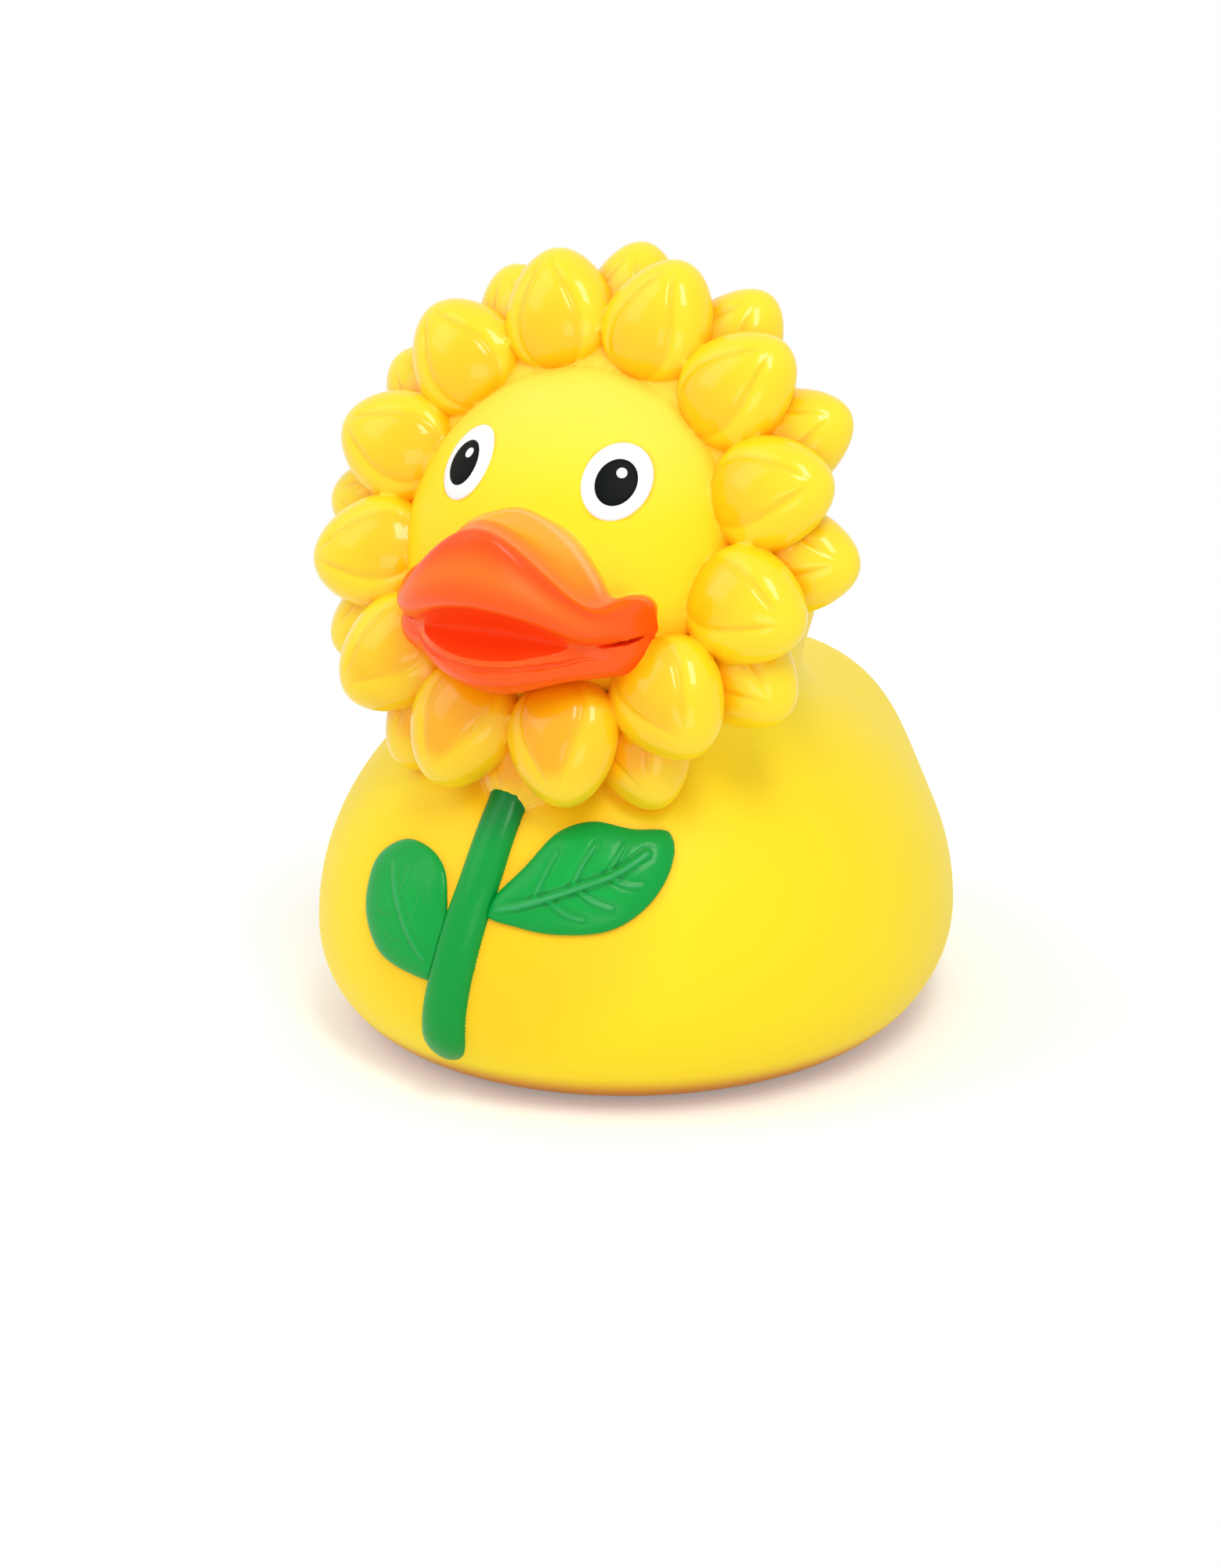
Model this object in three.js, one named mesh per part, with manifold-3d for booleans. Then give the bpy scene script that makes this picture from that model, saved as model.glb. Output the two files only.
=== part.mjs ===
// Rubber duck with a flower mane: one hollow shell of soft vinyl, moulded in one piece.
// Millimetres. Z is up, the face looks towards -Y, and the origin is the middle of the flat base.
import * as THREE from 'three';
import { mergeVertices } from 'three/addons/utils/BufferGeometryUtils.js';
import Module from 'manifold-3d';

// Driving dimensions of the body.
const BODY_HALF_WIDTH = 36.4;
const BODY_FRONT = 37.5;
const BODY_BACK = 43;
const BODY_WIDEST_HEIGHT = 12;
const BODY_CROWN_HEIGHT = 44.5;
const FOOT_SHARE = 0.7;
const TAIL_CENTRE = [0, 22, 24.5];
const TAIL_RADII = [20.5, 23, 11.8];
const TAIL_LIFT_DEG = 15;
const TAIL_BLEND = 7.5;

// Driving dimensions of the head, which looks up by the tilt angle.
const HEAD_RADIUS = 23.6;
const HEAD_CENTRE = [0, -4.8, 55.5];
const HEAD_TILT_DEG = 23;
const NECK_BLEND = 9;

// Driving dimensions of the mane of petals.
const PETALS_PER_ROW = 12;
const PETAL_HALF_WIDTH = 6.5;
const PETAL_HALF_DEPTH = 4.2;
const MANE_RISE = 2.2;
const FRONT_ROW_ROOT_RADIUS = 17.4;
const FRONT_ROW_TIP_RADIUS = 31.8;
const FRONT_ROW_FORWARD = 11.6;
const BACK_ROW_ROOT_RADIUS = 16;
const BACK_ROW_TIP_RADIUS = 33.4;
const BACK_ROW_FORWARD = 6.6;
const MANE_BED_RADIUS = 23.9;
const MANE_BED_HALF_DEPTH = 5.2;
const PETAL_PANEL_SHARE = 0.6;
const PETAL_CREASE_DEPTH = 0.4;
const PETAL_TAPER = 0.1;
const LOWER_PETALS_FORWARD = 4.4;
const LOWER_PETALS_DROP = 0.5;

// Driving dimensions of the bill, along its own axis.
const BILL_PITCH_DEG = 10;
const BILL_ROOT_FORWARD = 17;
const BILL_LENGTH = 14.8;
const BILL_HALF_WIDTH = 14;
const BILL_ROOT_DEPTH = 9;
const MOUTH_DROP = 4.6;
const MOUTH_GAPE = 5.4;
const MOUTH_SPREAD_DEG = 54;
const MOUTH_SEAM = 0.45;
const BROW_HEIGHT = 12;
const SIDE_LIP_HEIGHT = 4.4;
const FRONT_LOBE_HEIGHT = 4.6;
const LIP_CREST_SHARE = 0.84;
const LIP_BULGE = 1.085;
const LOWER_BILL_DEPTH = 8.6;
const LOWER_SIDE_DEPTH = 5.2;

// Driving dimensions of the eyes, the stem and the leaves.
const EYE_SPREAD_DEG = 24.5;
const EYE_RISE_DEG = 16.5;
const EYE_HALF_WIDTH = 3.8;
const EYE_HALF_HEIGHT = 4.9;
const EYE_RELIEF = 0.3;
const STEM_HALF_WIDTH = 2.5;
const STEM_RELIEF = 1.6;
const LEAF_RELIEF = 1.1;
const PAD_ROOT = 1.2;

// Driving dimensions of the hollow shell.
const WALL = 2.4;
const VENT_RADIUS = 1.8;
const VENT_OFFSET = 9;

const wasm = await Module();
wasm.setup();

const radians = (degrees) => degrees * Math.PI / 180;
const tilt = radians(HEAD_TILT_DEG);
const headCentre = new THREE.Vector3(...HEAD_CENTRE);
const faceForward = new THREE.Vector3(0, -Math.cos(tilt), Math.sin(tilt));
const faceUp = new THREE.Vector3(0, Math.sin(tilt), Math.cos(tilt));
const sideways = new THREE.Vector3(1, 0, 0);

// A closed surface from rings of equal length, with a point at each end.
function loftedRings(rings, startPoint, endPoint) {
  const points = [startPoint, ...rings.flat(), endPoint];
  const around = rings[0].length;
  const last = points.length - 1;
  const triangles = [];
  for (let i = 0; i < around; i += 1) {
    const next = (i + 1) % around;
    triangles.push(0, 1 + next, 1 + i);
    for (let ring = 0; ring < rings.length - 1; ring += 1) {
      const low = 1 + ring * around;
      const high = low + around;
      triangles.push(low + i, low + next, high + next);
      triangles.push(low + i, high + next, high + i);
    }
    const top = 1 + (rings.length - 1) * around;
    triangles.push(last, top + i, top + next);
  }
  const geometry = new THREE.BufferGeometry();
  const flat = points.flatMap((point) => [point.x, point.y, point.z]);
  geometry.setAttribute('position', new THREE.Float32BufferAttribute(flat, 3));
  geometry.setIndex(triangles);
  return geometry;
}

// A solid from a closed geometry, turned right side out where its rings ran the other way.
function solid(geometry) {
  const bare = geometry.clone();
  bare.deleteAttribute('normal');
  bare.deleteAttribute('uv');
  const merged = mergeVertices(bare, 1e-4);
  const vertProperties = new Float32Array(merged.attributes.position.array);
  const triVerts = new Uint32Array(merged.index.array);
  let volume = 0;
  const corner = [0, 1, 2].map(() => new THREE.Vector3());
  for (let t = 0; t < triVerts.length; t += 3) {
    corner.forEach((point, i) => point.fromArray(vertProperties, 3 * triVerts[t + i]));
    volume += corner[0].dot(corner[1].clone().cross(corner[2]));
  }
  if (volume < 0) {
    for (let t = 0; t < triVerts.length; t += 3) {
      [triVerts[t], triVerts[t + 1]] = [triVerts[t + 1], triVerts[t]];
    }
  }
  return new wasm.Manifold(new wasm.Mesh({ numProp: 3, vertProperties, triVerts }));
}

// How full the body is at a height, as a share of its widest section.
function bodyFullness(z) {
  if (z < BODY_WIDEST_HEIGHT) {
    const down = 1 - Math.max(0, z) / BODY_WIDEST_HEIGHT;
    return FOOT_SHARE + (1 - FOOT_SHARE) * Math.sqrt(1 - down * down);
  }
  const up = (z - BODY_WIDEST_HEIGHT) / (BODY_CROWN_HEIGHT - BODY_WIDEST_HEIGHT);
  return Math.sqrt(Math.max(0, 1 - up * up));
}

// The body's reach from the Z axis in a direction: an egg that is longer to the back.
function bodyReach(sine, cosine) {
  const depth = cosine > 0 ? BODY_FRONT : BODY_BACK;
  return 1 / Math.sqrt((sine / BODY_HALF_WIDTH) ** 2 + (cosine / depth) ** 2);
}

// About how far a point lies outside an ellipsoid.
function ellipsoidDistance(x, y, z, radii) {
  const near = Math.hypot(x / radii[0], y / radii[1], z / radii[2]);
  const steep = Math.hypot(x / radii[0] ** 2, y / radii[1] ** 2, z / radii[2] ** 2);
  return near * (near - 1) / Math.max(steep, 1e-6);
}

// Two distances joined with a fillet about as wide as the blend.
function blended(a, b, blend) {
  const overlap = Math.max(0, blend - Math.abs(a - b)) / blend;
  return Math.min(a, b) - overlap * overlap * blend / 4;
}

function bodyDistance(x, y, z) {
  const radius = Math.hypot(x, y);
  const reach = bodyReach(x / radius, -y / radius);
  if (z < BODY_WIDEST_HEIGHT) {
    return radius - reach * bodyFullness(z);
  }
  const rise = BODY_CROWN_HEIGHT - BODY_WIDEST_HEIGHT;
  return ellipsoidDistance(radius, 0, z - BODY_WIDEST_HEIGHT, [reach, 1, rise]);
}

function tailDistance(x, y, z) {
  const lift = radians(TAIL_LIFT_DEG);
  const back = y - TAIL_CENTRE[1];
  const up = z - TAIL_CENTRE[2];
  const along = back * Math.cos(lift) + up * Math.sin(lift);
  const above = up * Math.cos(lift) - back * Math.sin(lift);
  return ellipsoidDistance(x - TAIL_CENTRE[0], along, above, TAIL_RADII);
}

function headDistance(x, y, z) {
  return Math.hypot(x - HEAD_CENTRE[0], y - HEAD_CENTRE[1], z - HEAD_CENTRE[2]) - HEAD_RADIUS;
}

// The smooth form of the duck without its relief: body, tail and head run into each other.
function formDistance(x, y, z) {
  const torso = blended(bodyDistance(x, y, z), tailDistance(x, y, z), TAIL_BLEND);
  return blended(torso, headDistance(x, y, z), NECK_BLEND);
}

// The axis that the level rings run round leans forward from the body to the head.
function ringAxis(z) {
  const share = Math.min(1, Math.max(0, (z - BODY_WIDEST_HEIGHT) / (HEAD_CENTRE[2] - BODY_WIDEST_HEIGHT)));
  return HEAD_CENTRE[1] * share;
}

// A point of the smooth form at an angle round the ring's axis (0 faces -Y, 90 faces +X) and a height,
// moved out by a distance.
function formPoint(angle, z, outward) {
  const s = Math.sin(angle);
  const c = Math.cos(angle);
  const axis = ringAxis(z);
  let inside = 0.5;
  let outside = BODY_BACK + BODY_HALF_WIDTH;
  const halvings = 30;
  for (let i = 0; i < halvings; i += 1) {
    const middle = (inside + outside) / 2;
    if (formDistance(middle * s, axis - middle * c, z) > outward) {
      outside = middle;
    } else {
      inside = middle;
    }
  }
  return new THREE.Vector3(inside * s, axis - inside * c, z);
}

// Heights that are close together at the start, the end or both.
function heights(from, to, count, ease) {
  return Array.from({ length: count }, (_, i) => from + (to - from) * ease(i / count));
}

// Level rings from the flat base to the crown of the head.
function ringedForm(outward, around, density) {
  const low = Math.max(0, -outward);
  const crown = HEAD_CENTRE[2] + HEAD_RADIUS + outward;
  const shoulder = TAIL_CENTRE[2] + TAIL_RADII[2] / 2;
  const waist = (shoulder + HEAD_CENTRE[2]) / 2;
  const levels = [
    ...heights(low, BODY_WIDEST_HEIGHT, Math.round(6 * density), (t) => t ** 1.7),
    ...heights(BODY_WIDEST_HEIGHT, shoulder, Math.round(5 * density), (t) => t),
    ...heights(shoulder, waist, Math.round(6 * density), (t) => t),
    ...heights(waist, HEAD_CENTRE[2], Math.round(4 * density), (t) => t),
    ...heights(HEAD_CENTRE[2], crown, Math.round(8 * density), (t) => Math.sin(Math.PI / 2 * t)),
  ];
  const rings = levels.map((z) => Array.from({ length: around },
    (_, i) => formPoint(2 * Math.PI * i / around, z, outward)));
  const bottom = new THREE.Vector3(0, 0, low);
  const top = new THREE.Vector3(0, HEAD_CENTRE[1], crown);
  return loftedRings(rings, bottom, top);
}

function ellipsoid(radii, around, rings) {
  const geometry = new THREE.SphereGeometry(1, around, rings);
  geometry.scale(...radii);
  return geometry;
}

// One petal: an egg-shaped loft from its root to its tip. Two creases set off a raised middle
// panel on its front and meet near the tip. The lower petals hang forward over the chest.
function petal(clock, rootRadius, tipRadius, forward, rings) {
  const radial = sideways.clone().multiplyScalar(Math.sin(clock)).addScaledVector(faceUp, Math.cos(clock));
  const across = sideways.clone().multiplyScalar(Math.cos(clock)).addScaledVector(faceUp, -Math.sin(clock));
  const hang = ((1 - Math.cos(clock)) / 2) ** 3;
  const centre = headCentre.clone()
    .addScaledVector(faceForward, forward + LOWER_PETALS_FORWARD * hang)
    .addScaledVector(faceUp, MANE_RISE - LOWER_PETALS_DROP * hang);
  const halfLength = (tipRadius - rootRadius) / 2;
  const middle = (tipRadius + rootRadius) / 2;
  const creaseEnd = 0.8;
  const creaseEndGap = 0.12;
  const backDome = 0.9;
  const place = (along, u, h) => centre.clone()
    .addScaledVector(radial, middle + halfLength * along)
    .addScaledVector(across, u)
    .addScaledVector(faceForward, h);
  const sections = [];
  for (let i = 1; i <= rings; i += 1) {
    const sweep = Math.PI * i / (rings + 1);
    const along = -Math.cos(sweep);
    const full = Math.sin(sweep);
    const width = PETAL_HALF_WIDTH * full * (1 - PETAL_TAPER * along);
    const depth = PETAL_HALF_DEPTH * full;
    const open = Math.max(0, 1 - ((along + 1) / (1 + creaseEnd)) ** 2.2);
    const crease = PETAL_PANEL_SHARE * open + creaseEndGap * (1 - open);
    const groove = PETAL_CREASE_DEPTH * Math.min(1, 3 * open) * Math.min(1, full);
    const dome = (u) => depth * Math.sqrt(Math.max(0, 1 - u * u));
    const front = [
      [1, 0], [0.82, dome(0.82)], [crease, dome(crease) - groove], [crease * 0.86, dome(crease * 0.86)],
      [0, depth * 1.04],
    ];
    const section = [];
    front.forEach(([u, h]) => section.push(place(along, width * u, h)));
    front.slice(0, -1).reverse().forEach(([u, h]) => section.push(place(along, -width * u, h)));
    [-0.7, 0, 0.7].forEach((u) => section.push(place(along, width * u, -dome(u) * backDome)));
    sections.push(section);
  }
  return loftedRings(sections, place(-1, 0, 0), place(1, 0, 0));
}

// The bed that the two rows of petals grow out of.
function maneBed() {
  const geometry = ellipsoid([MANE_BED_RADIUS, MANE_BED_HALF_DEPTH, MANE_BED_RADIUS], 30, 12);
  geometry.rotateX(-tilt);
  const centre = headCentre.clone().addScaledVector(faceForward, (FRONT_ROW_FORWARD + BACK_ROW_FORWARD) / 2)
    .addScaledVector(faceUp, MANE_RISE);
  geometry.translate(centre.x, centre.y, centre.z);
  return geometry;
}

// The bill's own axes: forward and a little up, with its mouth plane below the head's centre.
const pitch = radians(BILL_PITCH_DEG);
const billForward = new THREE.Vector3(0, -Math.cos(pitch), Math.sin(pitch));
const billUp = new THREE.Vector3(0, Math.sin(pitch), Math.cos(pitch));
const billPoint = (x, forward, up) => headCentre.clone()
  .addScaledVector(sideways, x)
  .addScaledVector(billForward, BILL_ROOT_FORWARD + forward)
  .addScaledVector(billUp, up - MOUTH_DROP);

const degrees = (angle) => Math.abs(angle) * 180 / Math.PI;
const bell = (value, centre, width) => Math.exp(-(((value - centre) / width) ** 2));
const easedStep = (value, from, to) => {
  const t = Math.min(1, Math.max(0, (value - from) / (to - from)));
  return t * t * (3 - 2 * t);
};

// Angles of the bill are 0 at its tip and 90 at its corners. The lip's edge arches at the tip and
// dips at the sides, as a smiling bill's does.
function lipWave(angle) {
  return 1.2 * bell(degrees(angle), 0, 30) - 1.6 * bell(degrees(angle), 60, 22);
}

function billOutline(angle, share) {
  const forwardReach = Math.cos(angle) > 0 ? BILL_LENGTH : BILL_ROOT_DEPTH;
  return [BILL_HALF_WIDTH * share * Math.sin(angle), forwardReach * share * Math.cos(angle)];
}

// How far the upper lip's crest stands above the mouth: a tall lobe in front and a cheek at each corner.
function lipCrest(angle) {
  const cheek = 1.4 * bell(degrees(angle), 95, 22);
  return SIDE_LIP_HEIGHT + FRONT_LOBE_HEIGHT * bell(degrees(angle), 0, 32) + cheek;
}

const crestShare = (angle) => LIP_CREST_SHARE + 0.11 * bell(degrees(angle), 0, 42);
const edgeShare = (angle) => 0.95 + 0.11 * easedStep(degrees(angle), 65, 90);
const lowerShare = (angle) => 0.9 + 0.16 * easedStep(degrees(angle), 50, 90);
const lowerDepth = (angle) => LOWER_SIDE_DEPTH
  + (LOWER_BILL_DEPTH - LOWER_SIDE_DEPTH) * bell(degrees(angle), 0, 55);

function bill() {
  const around = 40;
  const saddle = [0.22, 0.4, 0.56, 0.7, 0.82, 0.91];
  const lipRoll = [[0, 1], [0.45, 0.99], [0.82, 0.9], [1, 0.66], [0.98, 0.36], [0.7, 0.1]];
  const underRoll = [[0.98, 0.08], [1, 0.34], [0.97, 0.64], [0.87, 0.86], [0.64, 0.975]];
  const ringAt = (shareAt, heightAt) => {
    const ring = [];
    for (let i = 0; i < around; i += 1) {
      const turn = 2 * Math.PI * i / around;
      const angle = turn > Math.PI ? turn - 2 * Math.PI : turn;
      const [x, forward] = billOutline(angle, shareAt(angle));
      ring.push(billPoint(x, forward, heightAt(angle)));
    }
    return ring;
  };
  // The saddle falls from the brow and rises again to the lip's crest.
  const rings = saddle.map((part) => ringAt((a) => part * crestShare(a), (a) => {
    const fall = BROW_HEIGHT - (BROW_HEIGHT - SIDE_LIP_HEIGHT) * part ** 1.9;
    return fall + (lipCrest(a) - SIDE_LIP_HEIGHT) * bell(part, 1, 0.2) + lipWave(a) * part;
  }));
  lipRoll.forEach(([out, rise]) => {
    const shareAt = (a) => crestShare(a) + (LIP_BULGE - crestShare(a)) * out;
    rings.push(ringAt(shareAt, (a) => lipCrest(a) * rise + lipWave(a)));
  });
  rings.push(ringAt(edgeShare, lipWave));
  underRoll.forEach(([out, drop]) => {
    const heightAt = (a) => lipWave(a) * (1 - drop) - lowerDepth(a) * drop;
    rings.push(ringAt((a) => lowerShare(a) * out, heightAt));
  });
  return loftedRings(rings, billPoint(0, 0, BROW_HEIGHT), billPoint(0, 0, -LOWER_BILL_DEPTH));
}

// The open mouth: a groove that gapes in front and narrows to a seam at each corner.
function mouth() {
  const steps = 30;
  const corner = radians(84);
  const gapeAt = (angle) => {
    const across = Math.min(1, degrees(angle) / MOUTH_SPREAD_DEG);
    return MOUTH_SEAM + (MOUTH_GAPE - MOUTH_SEAM) * Math.cos(Math.PI / 2 * across) ** 1.1;
  };
  const section = (angle) => {
    const gape = gapeAt(angle);
    const inner = 1 - 0.4 * Math.min(1, gape / MOUTH_GAPE + 0.25);
    const at = (share, drop) => billPoint(...billOutline(angle, share), lipWave(angle) - gape * drop);
    return [at(inner, 0.5), at(0.8, 0.06), at(1.3, 0), at(1.3, 1), at(0.8, 0.94)];
  };
  const rings = [];
  for (let i = 1; i < steps; i += 1) {
    rings.push(section(-corner + 2 * corner * i / steps));
  }
  const end = (angle) => billPoint(...billOutline(angle, edgeShare(angle)), lipWave(angle) - MOUTH_SEAM / 2);
  return loftedRings(rings, end(-corner), end(corner));
}

// A raised pad on a curved surface: the outline's points run round its middle, and surface(u, v, h)
// gives the point that lies h above the surface.
function pad(outline, middle, surface, relief, shares) {
  const heightAt = (share) => relief * Math.sqrt(Math.max(0, 1 - share ** 4));
  const ringAt = (share, height) => outline.map(([u, v]) => surface(
    middle[0] + (u - middle[0]) * share, middle[1] + (v - middle[1]) * share, height));
  const rings = shares.map((share) => ringAt(share, heightAt(share)));
  rings.push(ringAt(1, -PAD_ROOT));
  rings.push(ringAt(0.5, -PAD_ROOT));
  return loftedRings(rings, surface(...middle, relief), surface(...middle, -PAD_ROOT));
}

function eye(side) {
  const outline = [];
  const around = 24;
  for (let i = 0; i < around; i += 1) {
    const angle = 2 * Math.PI * i / around;
    outline.push([EYE_HALF_WIDTH * Math.cos(angle), EYE_HALF_HEIGHT * Math.sin(angle)]);
  }
  const spread = radians(EYE_SPREAD_DEG) * side;
  const rise = radians(EYE_RISE_DEG);
  const outwardAxis = sideways.clone().multiplyScalar(Math.sin(spread) * Math.cos(rise))
    .addScaledVector(faceForward, Math.cos(spread) * Math.cos(rise))
    .addScaledVector(faceUp, Math.sin(rise));
  const upAxis = faceUp.clone().addScaledVector(outwardAxis, -faceUp.dot(outwardAxis)).normalize();
  const sideAxis = upAxis.clone().cross(outwardAxis);
  const surface = (u, v, h) => outwardAxis.clone().multiplyScalar(HEAD_RADIUS)
    .addScaledVector(sideAxis, u).addScaledVector(upAxis, v)
    .setLength(HEAD_RADIUS + h).add(headCentre);
  return pad(outline, [0, 0], surface, EYE_RELIEF, [0.6, 0.9, 1]);
}

// Chest coordinates are an angle in degrees round from the front and a height.
const chest = (angle, z, h) => formPoint(radians(angle), z, h);

function smoothOutline(points, count) {
  const curve = new THREE.CatmullRomCurve3(points.map(([u, v]) => new THREE.Vector3(u, v, 0)), true);
  return curve.getSpacedPoints(count).slice(0, count).map((point) => [point.x, point.y]);
}

// Outlines of the two leaves and the line of the stem, in chest coordinates.
const LEFT_LEAF = [
  [-24, 27.8], [-29.5, 25.5], [-29.2, 22], [-26.5, 18.6], [-21, 15.6], [-13, 14.6], [-6.5, 14.8],
  [-5.6, 18], [-7, 22], [-10, 26], [-16, 27.8],
];
const RIGHT_LEAF = [
  [0.5, 23.2], [7.5, 28.2], [13, 31.4], [21, 32.6], [30, 32], [38.5, 31.6], [38, 28.8], [32.5, 25],
  [25, 22.4], [16, 21.7], [8, 22],
];
const STEM_LINE = [[-1.2, 35], [-1.3, 30], [-1.7, 26], [-2.9, 21.4], [-4.2, 16.6], [-6.3, 10.6], [-8.8, 3.8]];

function leaf(points) {
  const outline = smoothOutline(points, 26);
  const middle = [0, 1].map((axis) => outline.reduce((sum, point) => sum + point[axis], 0) / outline.length);
  return pad(outline, middle, chest, LEAF_RELIEF, [0.4, 0.75, 0.93, 1]);
}

function stem() {
  const line = new THREE.CatmullRomCurve3(STEM_LINE.map(([u, v]) => new THREE.Vector3(u, v, 0)));
  const stations = 14;
  const arc = 7;
  const roundFrom = 0.93;
  const footSpread = 0.4;
  const rings = [];
  for (let i = 0; i < stations; i += 1) {
    const t = i / (stations - 1);
    const point = line.getPointAt(t);
    const radius = chest(point.x, point.y, 0).setZ(0).length();
    const endRound = Math.sqrt(Math.max(0.16, 1 - (Math.max(0, t - roundFrom) / (1 - roundFrom)) ** 2));
    const width = (STEM_HALF_WIDTH + footSpread * t) * endRound;
    const ring = [];
    for (let j = 0; j <= arc; j += 1) {
      const sweep = Math.PI * j / arc;
      const turn = width * Math.cos(sweep) / radius * 180 / Math.PI;
      ring.push(chest(point.x + turn, point.y, STEM_RELIEF * endRound * Math.sin(sweep)));
    }
    const inner = width / radius * 90 / Math.PI;
    ring.push(chest(point.x - inner, point.y, -PAD_ROOT));
    ring.push(chest(point.x + inner, point.y, -PAD_ROOT));
    rings.push(ring);
  }
  const ends = [0, stations - 1].map((i) => {
    const point = line.getPointAt(i / (stations - 1));
    return chest(point.x, point.y, -PAD_ROOT / 2);
  });
  return loftedRings(rings, ends[0], ends[1]);
}

// The hollow follows the smooth form at the wall's thickness.
function hollow() {
  return solid(ringedForm(-WALL, 26, 0.6));
}

// The moulded vent in the flat base lets the air out of the shell.
function vent() {
  const geometry = new THREE.CylinderGeometry(VENT_RADIUS, VENT_RADIUS, 4 * WALL, 16);
  geometry.rotateX(Math.PI / 2);
  geometry.translate(0, VENT_OFFSET, 0);
  return solid(geometry);
}

function buildDuck() {
  const step = 2 * Math.PI / PETALS_PER_ROW;
  let skin = solid(ringedForm(0, 44, 1)).add(solid(maneBed()));
  for (let i = 0; i < PETALS_PER_ROW; i += 1) {
    const back = petal(i * step, BACK_ROW_ROOT_RADIUS, BACK_ROW_TIP_RADIUS, BACK_ROW_FORWARD, 7);
    const front = petal((i + 0.5) * step, FRONT_ROW_ROOT_RADIUS, FRONT_ROW_TIP_RADIUS, FRONT_ROW_FORWARD, 7);
    skin = skin.add(solid(back)).add(solid(front));
  }
  skin = skin.add(solid(bill()).subtract(solid(mouth())));
  skin = skin.add(solid(eye(1))).add(solid(eye(-1)));
  skin = skin.add(solid(stem())).add(solid(leaf(LEFT_LEAF))).add(solid(leaf(RIGHT_LEAF)));
  return skin.subtract(hollow()).subtract(vent());
}

function meshFrom(manifold) {
  const mesh = manifold.getMesh();
  const geometry = new THREE.BufferGeometry();
  geometry.setAttribute('position', new THREE.BufferAttribute(new Float32Array(mesh.vertProperties), 3));
  geometry.setIndex(new THREE.BufferAttribute(new Uint32Array(mesh.triVerts), 1));
  return geometry;
}

const vinyl = new THREE.MeshStandardMaterial({ color: 0xffdf33, roughness: 0.42, metalness: 0 });
const duck = new THREE.Mesh(meshFrom(buildDuck()), vinyl);
duck.name = 'duck';
const group = new THREE.Group();
group.add(duck);

export default group;
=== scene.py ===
"""A rubber duck with a flower mane: the moulded vinyl skin, its paint, and a plain studio."""

import itertools
import math

import bpy
import numpy as np
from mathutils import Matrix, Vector, kdtree
from mathutils.bvhtree import BVHTree


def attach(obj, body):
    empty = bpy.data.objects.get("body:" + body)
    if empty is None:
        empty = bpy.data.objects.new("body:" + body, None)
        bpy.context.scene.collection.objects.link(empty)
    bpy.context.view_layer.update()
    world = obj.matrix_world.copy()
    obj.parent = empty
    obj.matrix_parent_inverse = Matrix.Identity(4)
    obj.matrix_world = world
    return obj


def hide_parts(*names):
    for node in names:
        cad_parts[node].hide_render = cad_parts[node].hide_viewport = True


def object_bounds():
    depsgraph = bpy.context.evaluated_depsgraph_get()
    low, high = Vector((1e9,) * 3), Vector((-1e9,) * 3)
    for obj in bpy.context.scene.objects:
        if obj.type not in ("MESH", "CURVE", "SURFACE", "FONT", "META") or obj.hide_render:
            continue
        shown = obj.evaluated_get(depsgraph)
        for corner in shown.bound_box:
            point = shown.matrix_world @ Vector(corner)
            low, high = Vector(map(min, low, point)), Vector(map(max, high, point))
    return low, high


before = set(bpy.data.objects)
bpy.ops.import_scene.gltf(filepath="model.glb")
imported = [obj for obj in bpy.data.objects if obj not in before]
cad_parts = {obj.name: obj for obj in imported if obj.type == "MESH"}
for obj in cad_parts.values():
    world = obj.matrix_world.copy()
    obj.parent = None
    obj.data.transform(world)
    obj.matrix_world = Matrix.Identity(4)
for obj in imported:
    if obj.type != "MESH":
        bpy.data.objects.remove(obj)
cad_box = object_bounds()

MM = 0.001

# Body, head and mane, in millimetres, as the moulded solid has them.
BODY_HALF_WIDTH = 36.4
BODY_FRONT = 37.5
BODY_BACK = 43.0
BODY_WIDEST_HEIGHT = 12.0
BODY_CROWN_HEIGHT = 44.5
FOOT_SHARE = 0.7
TAIL_CENTRE = (0.0, 22.0, 24.5)
TAIL_RADII = (20.5, 23.0, 11.8)
TAIL_LIFT = math.radians(15)
TAIL_BLEND = 7.5
HEAD_RADIUS = 23.6
HEAD_CENTRE = np.array((0.0, -4.8, 55.5))
HEAD_TILT = math.radians(23)
NECK_BLEND = 9.0
MANE_RISE = 2.2
MANE_BED_RADIUS = 24.4
MANE_BED_HALF_DEPTH = 5.4
FRONT_ROW = {"Root radius": 17.4, "Tip radius": 31.8, "Forward": 11.6, "First clock": 0.5}
BACK_ROW = {"Root radius": 16.0, "Tip radius": 33.4, "Forward": 6.6, "First clock": 0.0}
PETAL = {"Petals": 12, "Half width": 6.5, "Half depth": 4.2, "Taper": 0.19, "Panel share": 0.64,
         "Crease depth": 0.27, "Lower forward": 4.4, "Lower drop": 0.5}

# A petal's panel, in shares of the petal's half width and half length.
PANEL_REACH = 1.8
PANEL_CLOSING = 2.2
CLOSED_SHARE = 0.12
CREASE_WIDTH = 0.06
PANEL_TURN = 0.62
HANG_POWER = 3

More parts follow.
